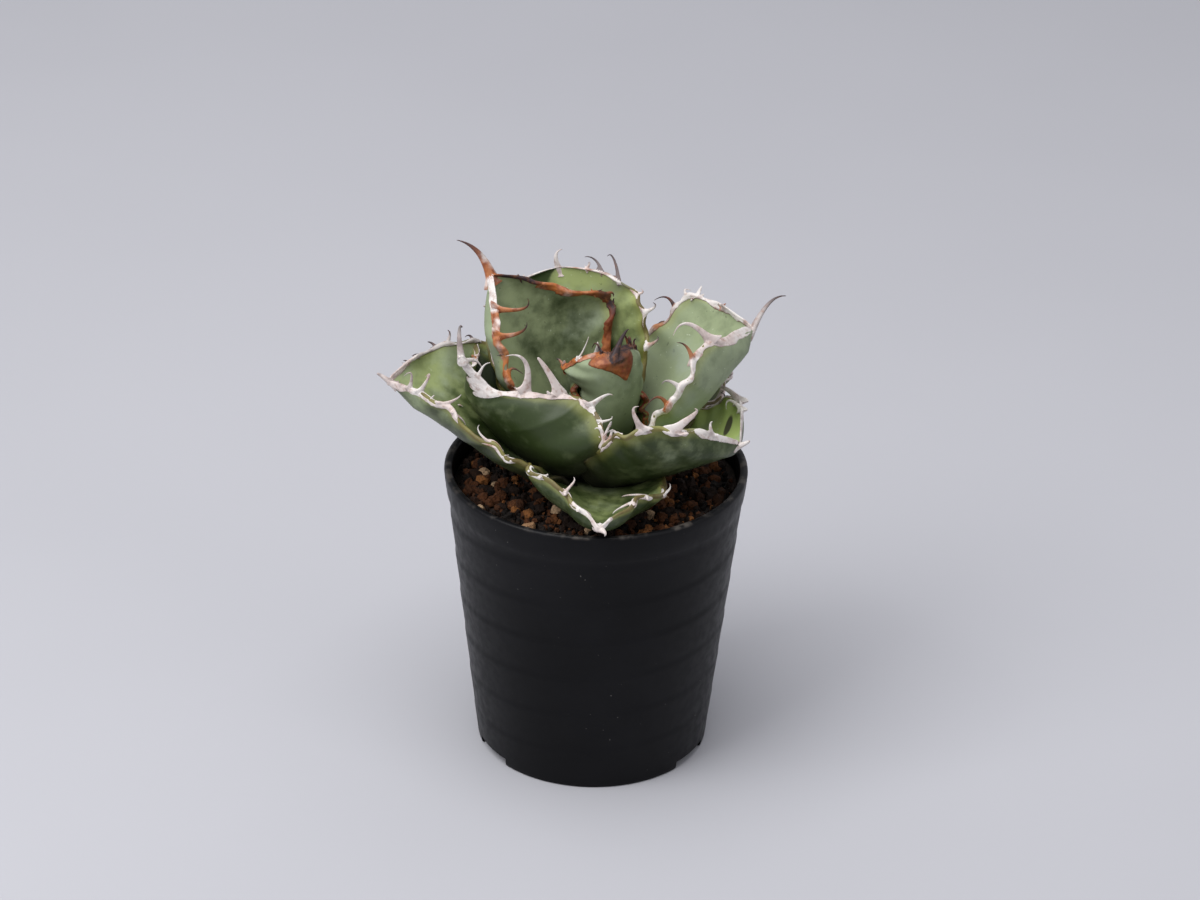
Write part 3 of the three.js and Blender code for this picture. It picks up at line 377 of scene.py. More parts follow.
def finish_piece(thing, material, slot, *nodes):
    thing.data.materials.clear()
    thing.data.materials.append(material)
    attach(thing, "root")
    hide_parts(*nodes)


def baked(thing):
    """The object with its modifiers applied, as a plain mesh under the same name."""
    graph = bpy.context.evaluated_depsgraph_get()
    final = thing.evaluated_get(graph)
    mesh = bpy.data.meshes.new_from_object(final, preserve_all_data_layers=True, depsgraph=graph)
    old = thing.data
    thing.modifiers.clear()
    thing.data = mesh
    bpy.data.meshes.remove(old)
    return thing


def loft_faces(rings, sides, first=0):
    """Faces between rings of points, closed by a cap at each end."""
    faces = []
    for ring in range(rings - 1):
        low = first + ring * sides
        for side in range(sides):
            nxt = (side + 1) % sides
            faces.append((low + side, low + nxt, low + nxt + sides, low + side + sides))
    faces.append(tuple(first + side for side in reversed(range(sides))))
    last = first + (rings - 1) * sides
    faces.append(tuple(last + side for side in range(sides)))
    return faces


# ---------------------------------------------------------------- leaf surface

def smooth_step(value):
    value = np.clip(value, 0, 1)
    return value * value * (3 - 2 * value)


def keyed(three, along):
    """A value held at each of KEYS and blended between."""
    first = three[0] + (three[1] - three[0]) * smooth_step((along - KEYS[0]) / (KEYS[1] - KEYS[0]))
    return first + (three[2] - three[1]) * smooth_step((along - KEYS[1]) / (KEYS[2] - KEYS[1]))


def leaf_frame(shape, along):
    """Tangent to the tip, side to the left edge and normal off the inner face, at places along the leaf."""
    along = np.asarray(along, float)
    heading = np.radians(shape["heading"]) + 0 * along
    rise = np.radians(lerp(shape["rise"][0], shape["rise"][1], along))
    lean = np.radians(shape["lean"] + shape["sweep"] * along**2)[..., None]
    roll = np.radians(shape["roll"])
    sideways = np.stack([-np.sin(heading), np.cos(heading), 0 * along], -1)
    forward = np.stack([np.cos(heading) * np.cos(rise), np.sin(heading) * np.cos(rise), np.sin(rise)], -1)
    up = np.cross(forward, sideways)
    tangent = forward * np.cos(lean) + sideways * np.sin(lean)
    across = sideways * np.cos(lean) - forward * np.sin(lean)
    return tangent, across * np.cos(roll) + up * np.sin(roll), up * np.cos(roll) - across * np.sin(roll)


def midrib(shape, along, steps=200):
    """Points of the midrib, found by adding up its tangents from the foot."""
    out, shift, height = shape["start"]
    heading = np.radians(shape["heading"])
    start = np.array([out * np.cos(heading) + shift, out * np.sin(heading), height])
    tangent, _, _ = leaf_frame(shape, (np.arange(steps) + 0.5) / steps)
    path = np.vstack([[start], start + np.cumsum(tangent, 0) * shape["length"] / steps])
    places = np.linspace(0, 1, steps + 1)
    return np.stack([np.interp(along, places, path[:, axis]) for axis in range(3)], -1)


def outline_share(outline, along):
    """Share of the full width at places along the leaf: it rises from its foot and tapers to its tip."""
    base, widest, taper, point = outline
    rising = base + (1 - base) * np.sin(np.pi / 2 * np.clip(along / widest, 0, 1))
    share = np.clip((along - widest) / (1 - widest), 0, 1)
    return np.where(along < widest, rising, np.clip(1 - share**taper, 0, 1) ** point)


def half_width(shape, along, hand):
    """The leaf's width from midrib to edge, measured over its face, with a slight lobe under each tooth."""
    share = outline_share(shape["outline"], along)
    steps = [(along - one["along"]) / LOBE["spread"] for one in shape["teeth"][hand]]
    lobes = sum(LOBE["height"] * np.exp(-(step**2)) for step in steps)
    return shape["width"] / 2 * share * keyed(shape["wide"][hand], along) + lobes * np.minimum(1, share * 2)


def leaf_section(shape, along, across):
    """Points of the inner face, the directions off it and out of its edge, and the leaf's thickness there."""
    along, across = np.broadcast_arrays(np.asarray(along, float), np.asarray(across, float))
    tangent, side, normal = leaf_frame(shape, along)
    share = outline_share(shape["outline"], along)
    cup = np.radians(lerp(shape["cup"][0], shape["cup"][1], along)) / 2
    left = across > 0
    reach = np.where(left, half_width(shape, along, "left"), half_width(shape, along, "right"))
    bend = cup * np.where(left, keyed(shape["fold"]["left"], along), keyed(shape["fold"]["right"], along))
    angle = bend * across
    radius = reach / bend
    wave = np.sin(along * 31 + shape["heading"])
    wave = wave + 0.7 * np.sin(along * 53 + 4 * across + shape["heading"] * 2)
    ripple = RIPPLE * np.abs(across) ** 3 * wave * np.minimum(1, share * 2)
    inwards = normal * np.cos(angle)[..., None] - side * np.sin(angle)[..., None]
    outwards = side * np.cos(angle)[..., None] + normal * np.sin(angle)[..., None]
    outwards = outwards * np.where(left, 1, -1)[..., None]
    lift = radius * (1 - np.cos(angle))
    inner = midrib(shape, along) + side * (radius * np.sin(angle))[..., None] + normal * lift[..., None]
    inner = inner + inwards * ripple[..., None]
    thick = lerp(shape["thick"][0], shape["thick"][1], along)
    body = EDGE_THICKNESS + (thick - EDGE_THICKNESS) * (1 - np.abs(across) ** 2.2)
    return inner, inwards, outwards, tangent, body * np.clip(share * 2.2, 0.3, 1)


def leaf_object(shape):
    """A leaf's flesh: both faces and two round edges, with the values that its material reads."""
    along = 1 - (1 - np.linspace(0, 1, LEAF_ALONG)) ** 1.3
    along = lerp(shape["begin"], LEAF_END, along)[:, None]
    across = np.sin(np.linspace(-1, 1, LEAF_ACROSS) * np.pi / 2)[None, :]
    inner, inwards, _, _, thickness = leaf_section(shape, along, across)
    outer = inner - inwards * thickness[..., None]
    rings = []
    for hand in (-1, 1):
        column = 0 if hand < 0 else -1
        edge_in, edge_out = inner[:, column], outer[:, column]
        _, _, outwards, _, thick = leaf_section(shape, along[:, 0], float(hand))
        arc = []
        for step in range(1, EDGE_ROUND + 1):
            turn = np.pi * step / (EDGE_ROUND + 1)
            bulge = outwards * (np.sin(turn) * thick * 0.45)[:, None]
            arc.append(edge_in + (edge_out - edge_in) * (1 - np.cos(turn)) / 2 + bulge)
        rings.append(np.stack(arc, 1))
    right_arc, left_arc = rings
    loop = np.concatenate([inner, left_arc, outer[:, ::-1], right_arc[:, ::-1]], 1)
    sides = loop.shape[1]
    widths = np.concatenate([across[0], np.ones(EDGE_ROUND), across[0][::-1], -np.ones(EDGE_ROUND)])
    turn_out = np.linspace(0, 1, EDGE_ROUND)
    outs = np.concatenate([np.zeros(LEAF_ACROSS), turn_out, np.ones(LEAF_ACROSS), turn_out[::-1]])
    points = loop.reshape(-1, 3)
    points = points + surface_swell(points, shape["heading"])
    places = np.repeat(along[:, 0], sides)
    widths, outs = (np.tile(row, LEAF_ALONG) for row in (widths, outs))
    # The light value: partly the leaf's own green, partly painted light and shade, set per leaf and face and
    # along the leaf by its fade.
    light = lerp(shape["light"][0], shape["light"][1], outs)
    light = light + shape["fade"] * (smooth_step((places - 0.45) / 0.5) - 0.6)
    # Over the left part of the inner face, towards the tip, the light value turns to light_left.
    if shape["light_left"] is not None:
        left_part_share = smooth_step((widths - 0.55 * (places - 0.6)) / 0.12) * (1 - outs)
        light = lerp(light, shape["light_left"], left_part_share)
    blotch = np.zeros(len(points))
    for at, off, long, wide in shape["blotches"]:
        blotch += np.exp(-(((places - at) / long) ** 2) - ((widths - off) / wide) ** 2) * (1 - outs)
    bloom = lerp(shape["bloom"][0], shape["bloom"][1], outs)
    attributes = {
        "along": places, "across": widths, "outer": outs, "light": light, "bloom": bloom, "blotch": blotch,
    }
    return smooth_object("agave_leaf_" + shape["name"], points, loft_faces(LEAF_ALONG, sides), attributes)


def surface_swell(points, seed):
    """Slight unevenness of the flesh along each axis, well under a millimetre and the same in every run."""
    offset = Vector((seed, seed * 0.37, 0))
    places = [offset + Vector((shift, 0, shift)) for shift in SWELL["shifts"]]
    near = [Vector(p) * SWELL["scale"] for p in points]
    return SWELL["size"] * np.array([[noise.noise(p + place) for place in places] for p in near])


# ---------------------------------------------------------------- horn: margins, teeth and end spines

class Parts:
    """Closed parts for one mesh, with each point's reach along its tooth, its tone and how near the flesh."""

    def __init__(self):
        self.points, self.faces, self.reach, self.tone, self.border = [], [], [], [], []

    def add(self, rings, reach, tone, border=0.0):
        rings = np.asarray(rings)
        count, sides, _ = rings.shape
        self.faces += loft_faces(count, sides, len(self.points))
        self.points += rings.reshape(-1, 3).tolist()
        for store, value in ((self.reach, reach), (self.tone, tone), (self.border, border)):
            value = np.asarray(value, float)
            value = value[:, None] if value.ndim == 1 else value
            store += np.broadcast_to(value, (count, sides)).ravel().tolist()


def unit(vector):
    return vector / np.linalg.norm(vector)


def curve(share, start, near, far, end):
    """A cubic curve between two points, pulled towards the two between them."""
    back = 1 - share
    return start * back**3 + 3 * near * share * back**2 + 3 * far * share**2 * back + end * share**3


def thorn(root, leave, bend, tip, breadth, half_width, half_thickness, foot, steps=24, sides=10):
    """Rings of a curved point that leaves its root one way, passes its bend and ends at its tip."""
    near = root + leave * 0.35 * np.linalg.norm(bend - root)
    far = (8 * bend - root - 3 * near - tip) / 3
    share = np.linspace(0, 1, steps + 1)[:, None]
    path = curve(share, root, near, far, tip)
    wide = breadth
    rings = []
    for i, point in enumerate(path):
        ahead = unit(path[min(i + 1, steps)] - path[max(i - 1, 0)])
        wide = unit(wide - ahead * np.dot(wide, ahead))
        thick = np.cross(ahead, wide)
        s = i / steps
        taper = max(0.0, 1 - s) ** THORN["taper"]
        flare = foot * math.exp(-((s / THORN["foot_reach"]) ** 2))
        swell = THORN["swell"] * math.exp(-s / THORN["swell_reach"])
        a_half = half_width * (taper * THORN["blade"] + flare) + THORN["least_wide"]
        b_half = half_thickness * (taper * THORN["ridge"] + swell) + THORN["least_thick"]
        turn = np.arange(sides) * 2 * np.pi / sides
        rings.append(point + np.outer(a_half * np.cos(turn), wide) + np.outer(b_half * np.sin(turn), thick))
    return rings, share[:, 0]


def window(along, start, end, soft=0.014):
    """1 between the start and the end, and 0 outside them, with soft ends."""
    return smooth_step((along - start + soft) / (2 * soft)) * smooth_step((end + soft - along) / (2 * soft))


def wrinkle(along, lane, seed):
    """Even noise over places along the leaf and lanes across it."""
    return np.array([[noise.noise(Vector((a * 34, s * 1.3, seed))) for s in lane] for a in along])


def margin_strip(parts, shape, hand):
    """Horn along the edge: a proud rim, and where the strips say so a thin sheet over both faces."""
    edge = 1.0 if hand == "left" else -1.0
    along = np.linspace(0.2, 1.0, 200)
    near_tooth = sum(np.exp(-(((along - one["along"]) / 0.03) ** 2)) for one in shape["teeth"][hand])
    near_tip = np.exp(-(((1 - along) / 0.05) ** 2))
    thin = min(1.0, shape["band"][hand] / 0.6)
    spread = {face: 0.35 * thin + 0.8 * near_tooth + near_tip for face in ("inner", "outer")}
    tone = np.full(len(along), float(shape["tone"]))
    cover = np.zeros(len(along))
    for one in shape["strips"][hand]:
        share = window(along, one["start"], one["end"])
        cover = np.maximum(cover, share)
        tone = lerp(tone, one["tone"], share)
        for face in ("inner", "outer"):
            spread[face] = np.maximum(spread[face], share * one[face])
    crumple = wrinkle(along * 1.3, [0.0], shape["heading"] + edge)[:, 0]
    band = shape["band"][hand]
    shown = np.clip(np.maximum(np.maximum(cover, near_tooth), (band - 0.25) / 0.25) + near_tip, 0, 1)
    proud = band * (1 + 0.6 * crumple) + 0.45 * near_tooth + 0.4 * near_tip + 0.4 * cover
    proud = proud * np.clip((along - 0.18) / 0.12, 0.1, 1)
    lanes = np.array([1, 0.8, 0.6, 0.4, 0.2, 0])
    reach = half_width(shape, along, hand)
    faces = {}
    for face in ("inner", "outer"):
        ragged = 1 + SHEET["ragged"] * wrinkle(along * 1.8, [2.0], shape["heading"] * 2 + edge)
        distance = spread[face][:, None] * ragged * lanes
        across = edge * np.clip(1 - distance / np.maximum(reach, 0.6)[:, None], -0.15, 1)
        inner, inwards, _, _, thickness = leaf_section(shape, along[:, None], across)
        off = inwards if face == "inner" else -inwards
        base = inner if face == "inner" else inner - inwards * thickness[..., None]
        uneven = SHEET["uneven"] * wrinkle(along, lanes * 3, shape["heading"] + 9)
        lift = (SHEET["lift"] + uneven) * np.sqrt(1.02 - lanes**2)
        lift = lift * shown[:, None] - SHEET["sunk"] * (1 - shown[:, None])
        faces[face] = (base + off * lift[..., None], base - off * SHEET["under"])
    inner, inwards, outwards, _, thickness = leaf_section(shape, along, edge)
    centre = inner - inwards * (thickness / 2)[:, None]
    arc = []
    for turn in np.radians([60, 25, -25, -60]):
        tall = thickness / 2 * (0.55 + 0.45 * shown) + 0.3 * shown
        out, up = (proud * math.cos(turn))[:, None], (tall * math.sin(turn))[:, None]
        arc.append(centre + outwards * out + inwards * up)
    (inner_top, inner_under), (outer_top, outer_under) = faces["inner"], faces["outer"]
    loop = [inner_top, np.stack(arc, 1), outer_top[:, ::-1], outer_under, inner_under[:, ::-1]]
    rings = np.concatenate(loop, 1)
    border = np.concatenate([lanes, np.zeros(4), lanes[::-1], lanes, lanes[::-1]]) ** 3
    parts.add(rings, np.zeros(len(along)), tone, border[None, :] + 0 * along[:, None])


def tip_plate(parts, shape):
    """A sheet of horn down the outer face from the end spine, its edges given at places along the leaf."""
    rows = np.array(shape["plate"], float)
    along = np.linspace(rows[0, 0], rows[-1, 0], 60)
    low, high = (np.interp(along, rows[:, 0], rows[:, column]) for column in (1, 2))
    lanes = np.linspace(0, 1, 15)
    across = low[:, None] + (high - low)[:, None] * lanes
    inner, inwards, _, _, thickness = leaf_section(shape, along[:, None], across)
    base = inner - inwards * thickness[..., None]
    uneven = PLATE["uneven"] * wrinkle(along, lanes * 3, shape["heading"] + 5)
    lift = (PLATE["lift"] + uneven) * np.sqrt(np.abs(1.02 - (2 * lanes - 1) ** 2))
    rings = np.concatenate([base - inwards * lift[..., None], (base + inwards * PLATE["under"])[:, ::-1]], 1)
    border = np.abs(2 * lanes - 1) ** 4
    border = np.concatenate([border, border[::-1]])[None, :] + 0 * along[:, None]
    parts.add(rings, np.zeros(len(along)), shape["plate_tone"], border)


def add_tooth(parts, shape, hand, one):
    edge = 1.0 if hand == "left" else -1.0
    inner, inwards, outwards, tangent, thickness = leaf_section(shape, one["along"], edge)
    centre = inner - inwards * thickness / 2

    def place(aim):
        return centre + outwards * aim[0] + tangent * aim[1] + inwards * aim[2]

    root, bend, tip = (place(aim) for aim in ((-0.5, 0, 0), one["bend"], one["tip"]))
    thick = min(one["width"] * 0.2, 0.7)
    rings, reach = thorn(root, outwards, bend, tip, tangent, one["width"] / 2, thick, 1.0)
    parts.add(rings, reach, one["tone"])


def add_end_spine(parts, shape):
    tangent, side, normal = leaf_frame(shape, np.array(1.0))
    _, _, _, _, thickness = leaf_section(shape, np.array(SPINE_FROM), np.array(0.0))
    root = midrib(shape, np.array(SPINE_FROM)) - normal * thickness / 2
    end = midrib(shape, np.array(1.0))
    bend, tip = (end + tangent * on + side * left + normal * up for on, left, up in shape["spine"])
    rings, reach = thorn(root, tangent, bend, tip, side, shape["spine_width"], 1.5, 0.35, steps=30, sides=14)
    parts.add(rings, reach, shape["spine_tone"])


def horn_object(shape):
    """One leaf's horn: its margins, teeth and end spine, fused into one skin."""
    parts = Parts()
    add_end_spine(parts, shape)
    if shape["plate"]:
        tip_plate(parts, shape)
    for hand in ("left", "right"):
        margin_strip(parts, shape, hand)
        for one in shape["teeth"][hand]:
            add_tooth(parts, shape, hand, one)
    thing = smooth_object("agave_horn_" + shape["name"], parts.points, parts.faces)
    fuse = thing.modifiers.new("fuse", "REMESH")
    fuse.mode = "VOXEL"
    fuse.voxel_size = VOXEL * MM
    soften = thing.modifiers.new("soften", "SMOOTH")
    soften.factor = 0.5
    soften.iterations = 2
    baked(thing)
    copy_nearest(thing, parts)
    shade_smooth(thing.data)
    return thing


def copy_nearest(thing, parts):
    """Fusing the parts drops their values, so each point takes those of the nearest original point."""
    tree = KDTree(len(parts.points))
    for i, point in enumerate(parts.points):
        tree.insert(Vector(point) * MM + POT_AXIS, i)
    tree.balance()
    nearest = [tree.find(v.co)[1] for v in thing.data.vertices]
    for key, values in (("reach", parts.reach), ("tone", parts.tone), ("border", parts.border)):
        keep(thing.data, key, [values[i] for i in nearest])


# ---------------------------------------------------------------- materials

class Tree:
    """A material's nodes, added and linked by name."""

    def __init__(self, name):
        self.material = bpy.data.materials.new(name)
        self.material.use_nodes = True
        self.nodes = self.material.node_tree.nodes
        self.links = self.material.node_tree.links
        self.shader = self.nodes["Principled BSDF"]
        self.place = self.nodes.new("ShaderNodeTexCoord").outputs["Object"]

    def feed(self, socket, value):
        """A number or a colour is set on the socket, and the output of a node is linked to it."""
        if isinstance(value, (int, float, tuple)):
            socket.default_value = value
        elif value is not None:
            self.links.new(value, socket)

    def attribute(self, name):
        node = self.nodes.new("ShaderNodeAttribute")
        node.attribute_name = name
        return node.outputs["Fac"]

    def noise(self, scale, detail=3.0):
        node = self.nodes.new("ShaderNodeTexNoise")
        for key, value in (("Scale", scale), ("Detail", detail), ("Roughness", 0.55), ("Vector", self.place)):
            self.feed(node.inputs[key], value)
        return node.outputs["Fac"]

    def range(self, source, low, high, to_low=0.0, to_high=1.0):
        node = self.nodes.new("ShaderNodeMapRange")
        node.interpolation_type = "SMOOTHSTEP"
        keys = ("Value", "From Min", "From Max", "To Min", "To Max")
        for key, value in zip(keys, (source, low, high, to_low, to_high)):
            self.feed(node.inputs[key], value)
        return node.outputs["Result"]

    def math(self, operation, a, b=None):
        node = self.nodes.new("ShaderNodeMath")
        node.operation = operation
        for socket, value in zip(node.inputs, (a, b)):
            self.feed(socket, value)
        return node.outputs["Value"]

    def add(self, a, b):
        return self.math("ADD", a, b)

    def times(self, a, b):
        return self.math("MULTIPLY", a, b)

    def mix(self, share, a, b):
        node = self.nodes.new("ShaderNodeMix")
        node.data_type = "RGBA"
        colours = [socket for socket in node.inputs if socket.type == "RGBA"]
        for socket, value in ((node.inputs["Factor"], share), (colours[0], a), (colours[1], b)):
            self.feed(socket, value)
        return [socket for socket in node.outputs if socket.type == "RGBA"][0]

    def surface(self, colour, roughness, specular=None):
        keys = ("Base Color", "Roughness", "Specular IOR Level")
        for key, value in zip(keys, (colour, roughness, specular)):
            self.feed(self.shader.inputs[key], value)

    def bump(self, height, distance, strength):
        node = self.nodes.new("ShaderNodeBump")
        for key, value in (("Distance", distance), ("Strength", strength), ("Height", height)):
            self.feed(node.inputs[key], value)
        self.feed(self.shader.inputs["Normal"], node.outputs["Normal"])


def rgb(*levels):
    """A colour given as it looks on screen, 0 to 255."""
    shares = [level / 255 for level in levels]
    return tuple(s / 12.92 if s <= 0.04045 else ((s + 0.055) / 1.055) ** 2.4 for s in shares) + (1.0,)


def leaf_material(name, root):
    """Flesh from deep to pale green by its light value, which holds painted light and shade beside the leaf's
    own colour, glaucous outside, dark at its foot and over the lower outer face, partly its own colour and
    partly painted shade, and with dark blotches.
    """
    tree = Tree(name)
    along, across, back = (tree.attribute(key) for key in ("along", "across", "outer"))
    aside = tree.math("ABSOLUTE", across)
    mottle, cloud = tree.noise(95.0, 5.0), tree.noise(30.0, 3.0)
    light = tree.attribute("light")
    for source, amount in ((cloud, 0.17), (mottle, 0.17), (tree.noise(260.0, 4.0), 0.13)):
        light = tree.add(light, tree.range(source, 0.3, 0.7, -amount, amount))
    share = tree.range(light, 0.0, 1.0)
    inner = tree.mix(share, rgb(44, 58, 24), rgb(138, 149, 96))
    # Light values above 1 turn to a paler green still: painted light, used on front_right's inner face, which
    # stands in shade under the leaves above it.
    inner = tree.mix(tree.range(light, 1.0, 1.9), inner, rgb(170, 188, 112))
    outer = tree.mix(share, rgb(43, 53, 26), rgb(132, 143, 114))
    colour = tree.mix(tree.attribute("bloom"), inner, outer)
    rim = tree.times(tree.range(aside, 0.86, 0.98, 0.0, 0.5), tree.range(mottle, 0.3, 0.6, 0.5, 1.0))
    colour = tree.mix(rim, colour, rgb(140, 142, 74))
    edge = tree.mix(tree.range(mottle, 0.4, 0.6), rgb(116, 108, 58), rgb(84, 62, 40))
    colour = tree.mix(tree.range(aside, 0.97, 0.995, 0.0, 0.75), colour, edge)
    flecks = tree.range(tree.noise(900.0, 1.0), 0.72, 0.78, 0.0, 0.4)
    colour = tree.mix(tree.times(flecks, share), colour, rgb(196, 204, 184))
    specks = tree.range(tree.noise(520.0, 2.0), 0.68, 0.74, 0.0, 0.4)
    colour = tree.mix(specks, colour, rgb(44, 46, 34))
    haze = tree.times(tree.range(tree.noise(62.0, 6.0), 0.5, 0.7, 0.0, 0.42), share)
    colour = tree.mix(haze, colour, rgb(142, 152, 142))
    # Darker towards the foot and over the lower part of the outer face: partly the flesh's own dark foot,
    # partly painted shade near the soil and under the leaf.
    reach = tree.add(along, tree.times(tree.math("POWER", aside, 2.0), 0.6))
    under = tree.times(tree.range(reach, 0.62, 0.28), back)
    low = tree.math("MAXIMUM", tree.range(along, 0.45, 0.12), under)
    colour = tree.mix(tree.times(low, tree.range(cloud, 0.3, 0.6, 0.7, 1.0)), colour, root)
    colour = tree.mix(tree.range(tree.attribute("blotch"), 0.35, 0.6, 0.0, 0.9), colour, rgb(48, 34, 38))
    tree.surface(colour, tree.range(share, 0.0, 1.0, 0.44, 0.6), 0.32)
    tree.bump(tree.add(tree.times(mottle, 0.6), tree.noise(420.0, 2.0)), 0.00014, 0.5)
    return tree.material


def darker(colour, share):
    return tuple(c * share for c in colour[:3]) + (1.0,)


def horn_material(name, pale, tan, dark):
    """Streaked horn, from pale through tan to dark by its tone, and darker to each tip and at its border."""
    tree = Tree(name)
    reach, tone, border = (tree.attribute(key) for key in ("reach", "tone", "border"))
    grain = tree.noise(520.0, 5.0)
    patch = tree.noise(150.0, 4.0)
    blush = tree.noise(75.0, 2.0)
    base = tree.mix(tree.range(blush, 0.42, 0.62, 0.0, 0.6), pale, rgb(186, 164, 158))
    base = tree.mix(tree.range(patch, 0.5, 0.72, 0.0, 0.8), base, rgb(126, 114, 112))
    base = tree.mix(tree.range(tone, -0.1, -0.6), base, rgb(98, 86, 86))
    depth = tree.add(tone, tree.range(patch, 0.3, 0.7, -0.12, 0.12))
    depth = tree.add(depth, tree.range(blush, 0.3, 0.7, -0.1, 0.1))
    rust = tree.mix(tree.range(grain, 0.38, 0.66), tan, rgb(122, 58, 28))
    rust = tree.mix(tree.range(blush, 0.5, 0.66, 0.0, 0.8), rust, rgb(176, 122, 84))
    amber = tree.mix(tree.range(patch, 0.42, 0.58), rgb(104, 46, 24), rgb(168, 98, 46))
    rust = tree.mix(tree.range(depth, 0.5, 0.64), rust, amber)
    colour = tree.mix(tree.range(depth, 0.22, 0.5), base, rust)
    colour = tree.mix(tree.range(depth, 0.62, 0.9), colour, dark)
    stained = tree.range(tree.math("ABSOLUTE", tone), 0.05, 0.3, 0.15, 0.95)
    colour = tree.mix(tree.times(tree.range(reach, 0.4, 0.9), stained), colour, dark)
    colour = tree.mix(tree.range(grain, 0.5, 0.72, 0.0, 0.5), colour, darker(tan, 0.6))
    edge = tree.times(tree.range(border, 0.35, 0.9), tree.range(patch, 0.35, 0.6, 0.4, 0.9))
    tree.surface(tree.mix(edge, colour, rgb(96, 58, 40)), 0.55, 0.35)
    tree.bump(tree.add(grain, patch), 0.00022, 0.7)
    return tree.material


def pot_material():
    """Black plastic with a little haze, specks of dust and a painted highlight along the top of the lip."""
    tree = Tree("black_plastic")
    haze, fine = tree.noise(22.0, 4.0), tree.noise(300.0, 3.0)
    colour = tree.mix(tree.range(haze, 0.4, 0.75, 0.0, 0.5), rgb(11, 11, 13), rgb(22, 22, 25))
    dust = tree.times(tree.range(tree.noise(700.0, 1.0), 0.76, 0.8), tree.range(haze, 0.45, 0.6))
    colour = tree.mix(tree.times(dust, 0.3), colour, rgb(150, 145, 140))
    place = tree.nodes.new("ShaderNodeSeparateXYZ")
    tree.feed(place.inputs["Vector"], tree.place)
    # A paler colour in patches over the top of the lip is a painted highlight, where light catches the rim.
    lip = tree.range(place.outputs["Z"], (POT["height"] - 1.2) * MM, POT["height"] * MM)
    rim_highlight = tree.times(lip, tree.range(tree.noise(160.0, 3.0), 0.45, 0.65))
    colour = tree.mix(tree.times(rim_highlight, 0.25), colour, rgb(130, 122, 114))
    tree.surface(colour, tree.range(fine, 0.3, 0.7, 0.34, 0.46), 0.12)
    tree.bump(fine, 0.00005, 0.5)
    return tree.material


def grain_material():
    """Grains of dark, brown and pale fired clay by their kind, each with a little grit on it."""
    tree = Tree("fired_clay_grains")
    kind, grit = tree.attribute("kind"), tree.noise(1400.0, 3.0)
    colour = rgb(13, 9, 7)
    for low, high, next_colour in (
        (0.3, 0.42, rgb(31, 18, 10)), (0.55, 0.68, rgb(78, 44, 21)), (0.84, 0.92, rgb(132, 84, 43)),
        (0.965, 0.985, rgb(180, 150, 118)),
    ):
        colour = tree.mix(tree.range(kind, low, high), colour, next_colour)
    colour = tree.mix(tree.range(grit, 0.4, 0.7, 0.0, 0.6), colour, rgb(20, 13, 9))
    tree.surface(colour, 0.9, 0.25)
    tree.bump(grit, 0.0004, 0.9)
    return tree.material


def plain_material(name, light, dark, scale, roughness):
    """Two colours in soft patches."""
    tree = Tree(name)
    share = tree.range(tree.noise(scale, 4.0), 0.35, 0.7)
    tree.surface(tree.mix(share, light, dark), roughness)
    tree.bump(share, 0.0002, 0.6)
    return tree.material


# ---------------------------------------------------------------- pot

def wall_radius(height):
    share = (height - POT["foot_round"]) / (POT["neck_height"] - POT["foot_round"])
    return POT["foot_radius"] + (POT["neck_radius"] - POT["foot_radius"]) * share


def ring_swell(height, turn):
    """The wall stands proud just under each ledge of a spiral, and tapers back in to the next ledge."""
    phase = (RINGS["first"] - height) / RINGS["pitch"] + (turn / (2 * math.pi) - 0.5)
    share = phase - math.floor(phase)
    fall = (1 - share) if share > RINGS["ledge"] else share / RINGS["ledge"] * (1 - RINGS["ledge"])
    strength = min(1.0, 0.35 + height / RINGS["fade_height"] * 0.65)
    fade = min(1.0, max(0.0, (POT["neck_height"] + 4 - height) / 6)) * min(1.0, height / 6)
    return RINGS["proud"] * fall * strength * fade


def pot_profile():
    """[radius, height, whether the spiral shapes it], from the floor's underside round to its top."""
    p = POT
    foot_inner = p["foot_radius"] - p["foot_width"]
    points = [(0.01, p["floor_under"], 0), (foot_inner, p["floor_under"], 0)]
    points += [(foot_inner, 0.3, 0), (foot_inner + 0.3, 0, 0)]
    points += [(p["foot_radius"] - p["foot_round"], 0, 0), (p["foot_radius"] - 0.25, 0.3, 0)]
    points += [(wall_radius(z), z, 1) for z in np.arange(0.9, p["neck_height"], 0.9)]
    rim = p["rim_radius"]
    points += [(50.75, 95, 1), (51.2, 96.3, 1), (51.6, 97.6, 1)]
    points += [(51.95, 100, 0), (52.3, 103, 0), (rim, 105.2, 0)]
    points += [(rim - 0.1, 106.0, 0), (rim - 0.5, 106.4, 0), (rim - 1.0, 106.5, 0), (rim - 1.9, 106.45, 0)]
    points += [(rim - 2.5, 106.1, 0), (rim - 2.9, 105.3, 0), (rim - 3.1, 103, 0), (49.0, 96, 0)]
    points += [(wall_radius(z) - p["wall"], z, 0) for z in (90, 60, 30, 8)]
    floor_edge = wall_radius(p["floor_top"]) - p["wall"] - 1
    return points + [(floor_edge, p["floor_top"], 0), (0.01, p["floor_top"], 0)]


def pot_object():
    profile = pot_profile()
    points, faces = [], []
    for i in range(POT_SEGMENTS):
        turn = i * 2 * math.pi / POT_SEGMENTS
        for radius, height, shaped in profile:
            r = radius + (ring_swell(height, turn) if shaped else 0)
            points.append((r * math.cos(turn), r * math.sin(turn), height))
    count = len(profile)
    for i in range(POT_SEGMENTS):
        a, b = i * count, ((i + 1) % POT_SEGMENTS) * count
        faces += [(a + j, b + j, b + j + 1, a + j + 1) for j in range(count - 1)]
    thing = smooth_object("agave_pot", points, faces)
    weld(thing.data, 0.03 * MM)
    cut_from(thing, pot_cutters())
    return thing


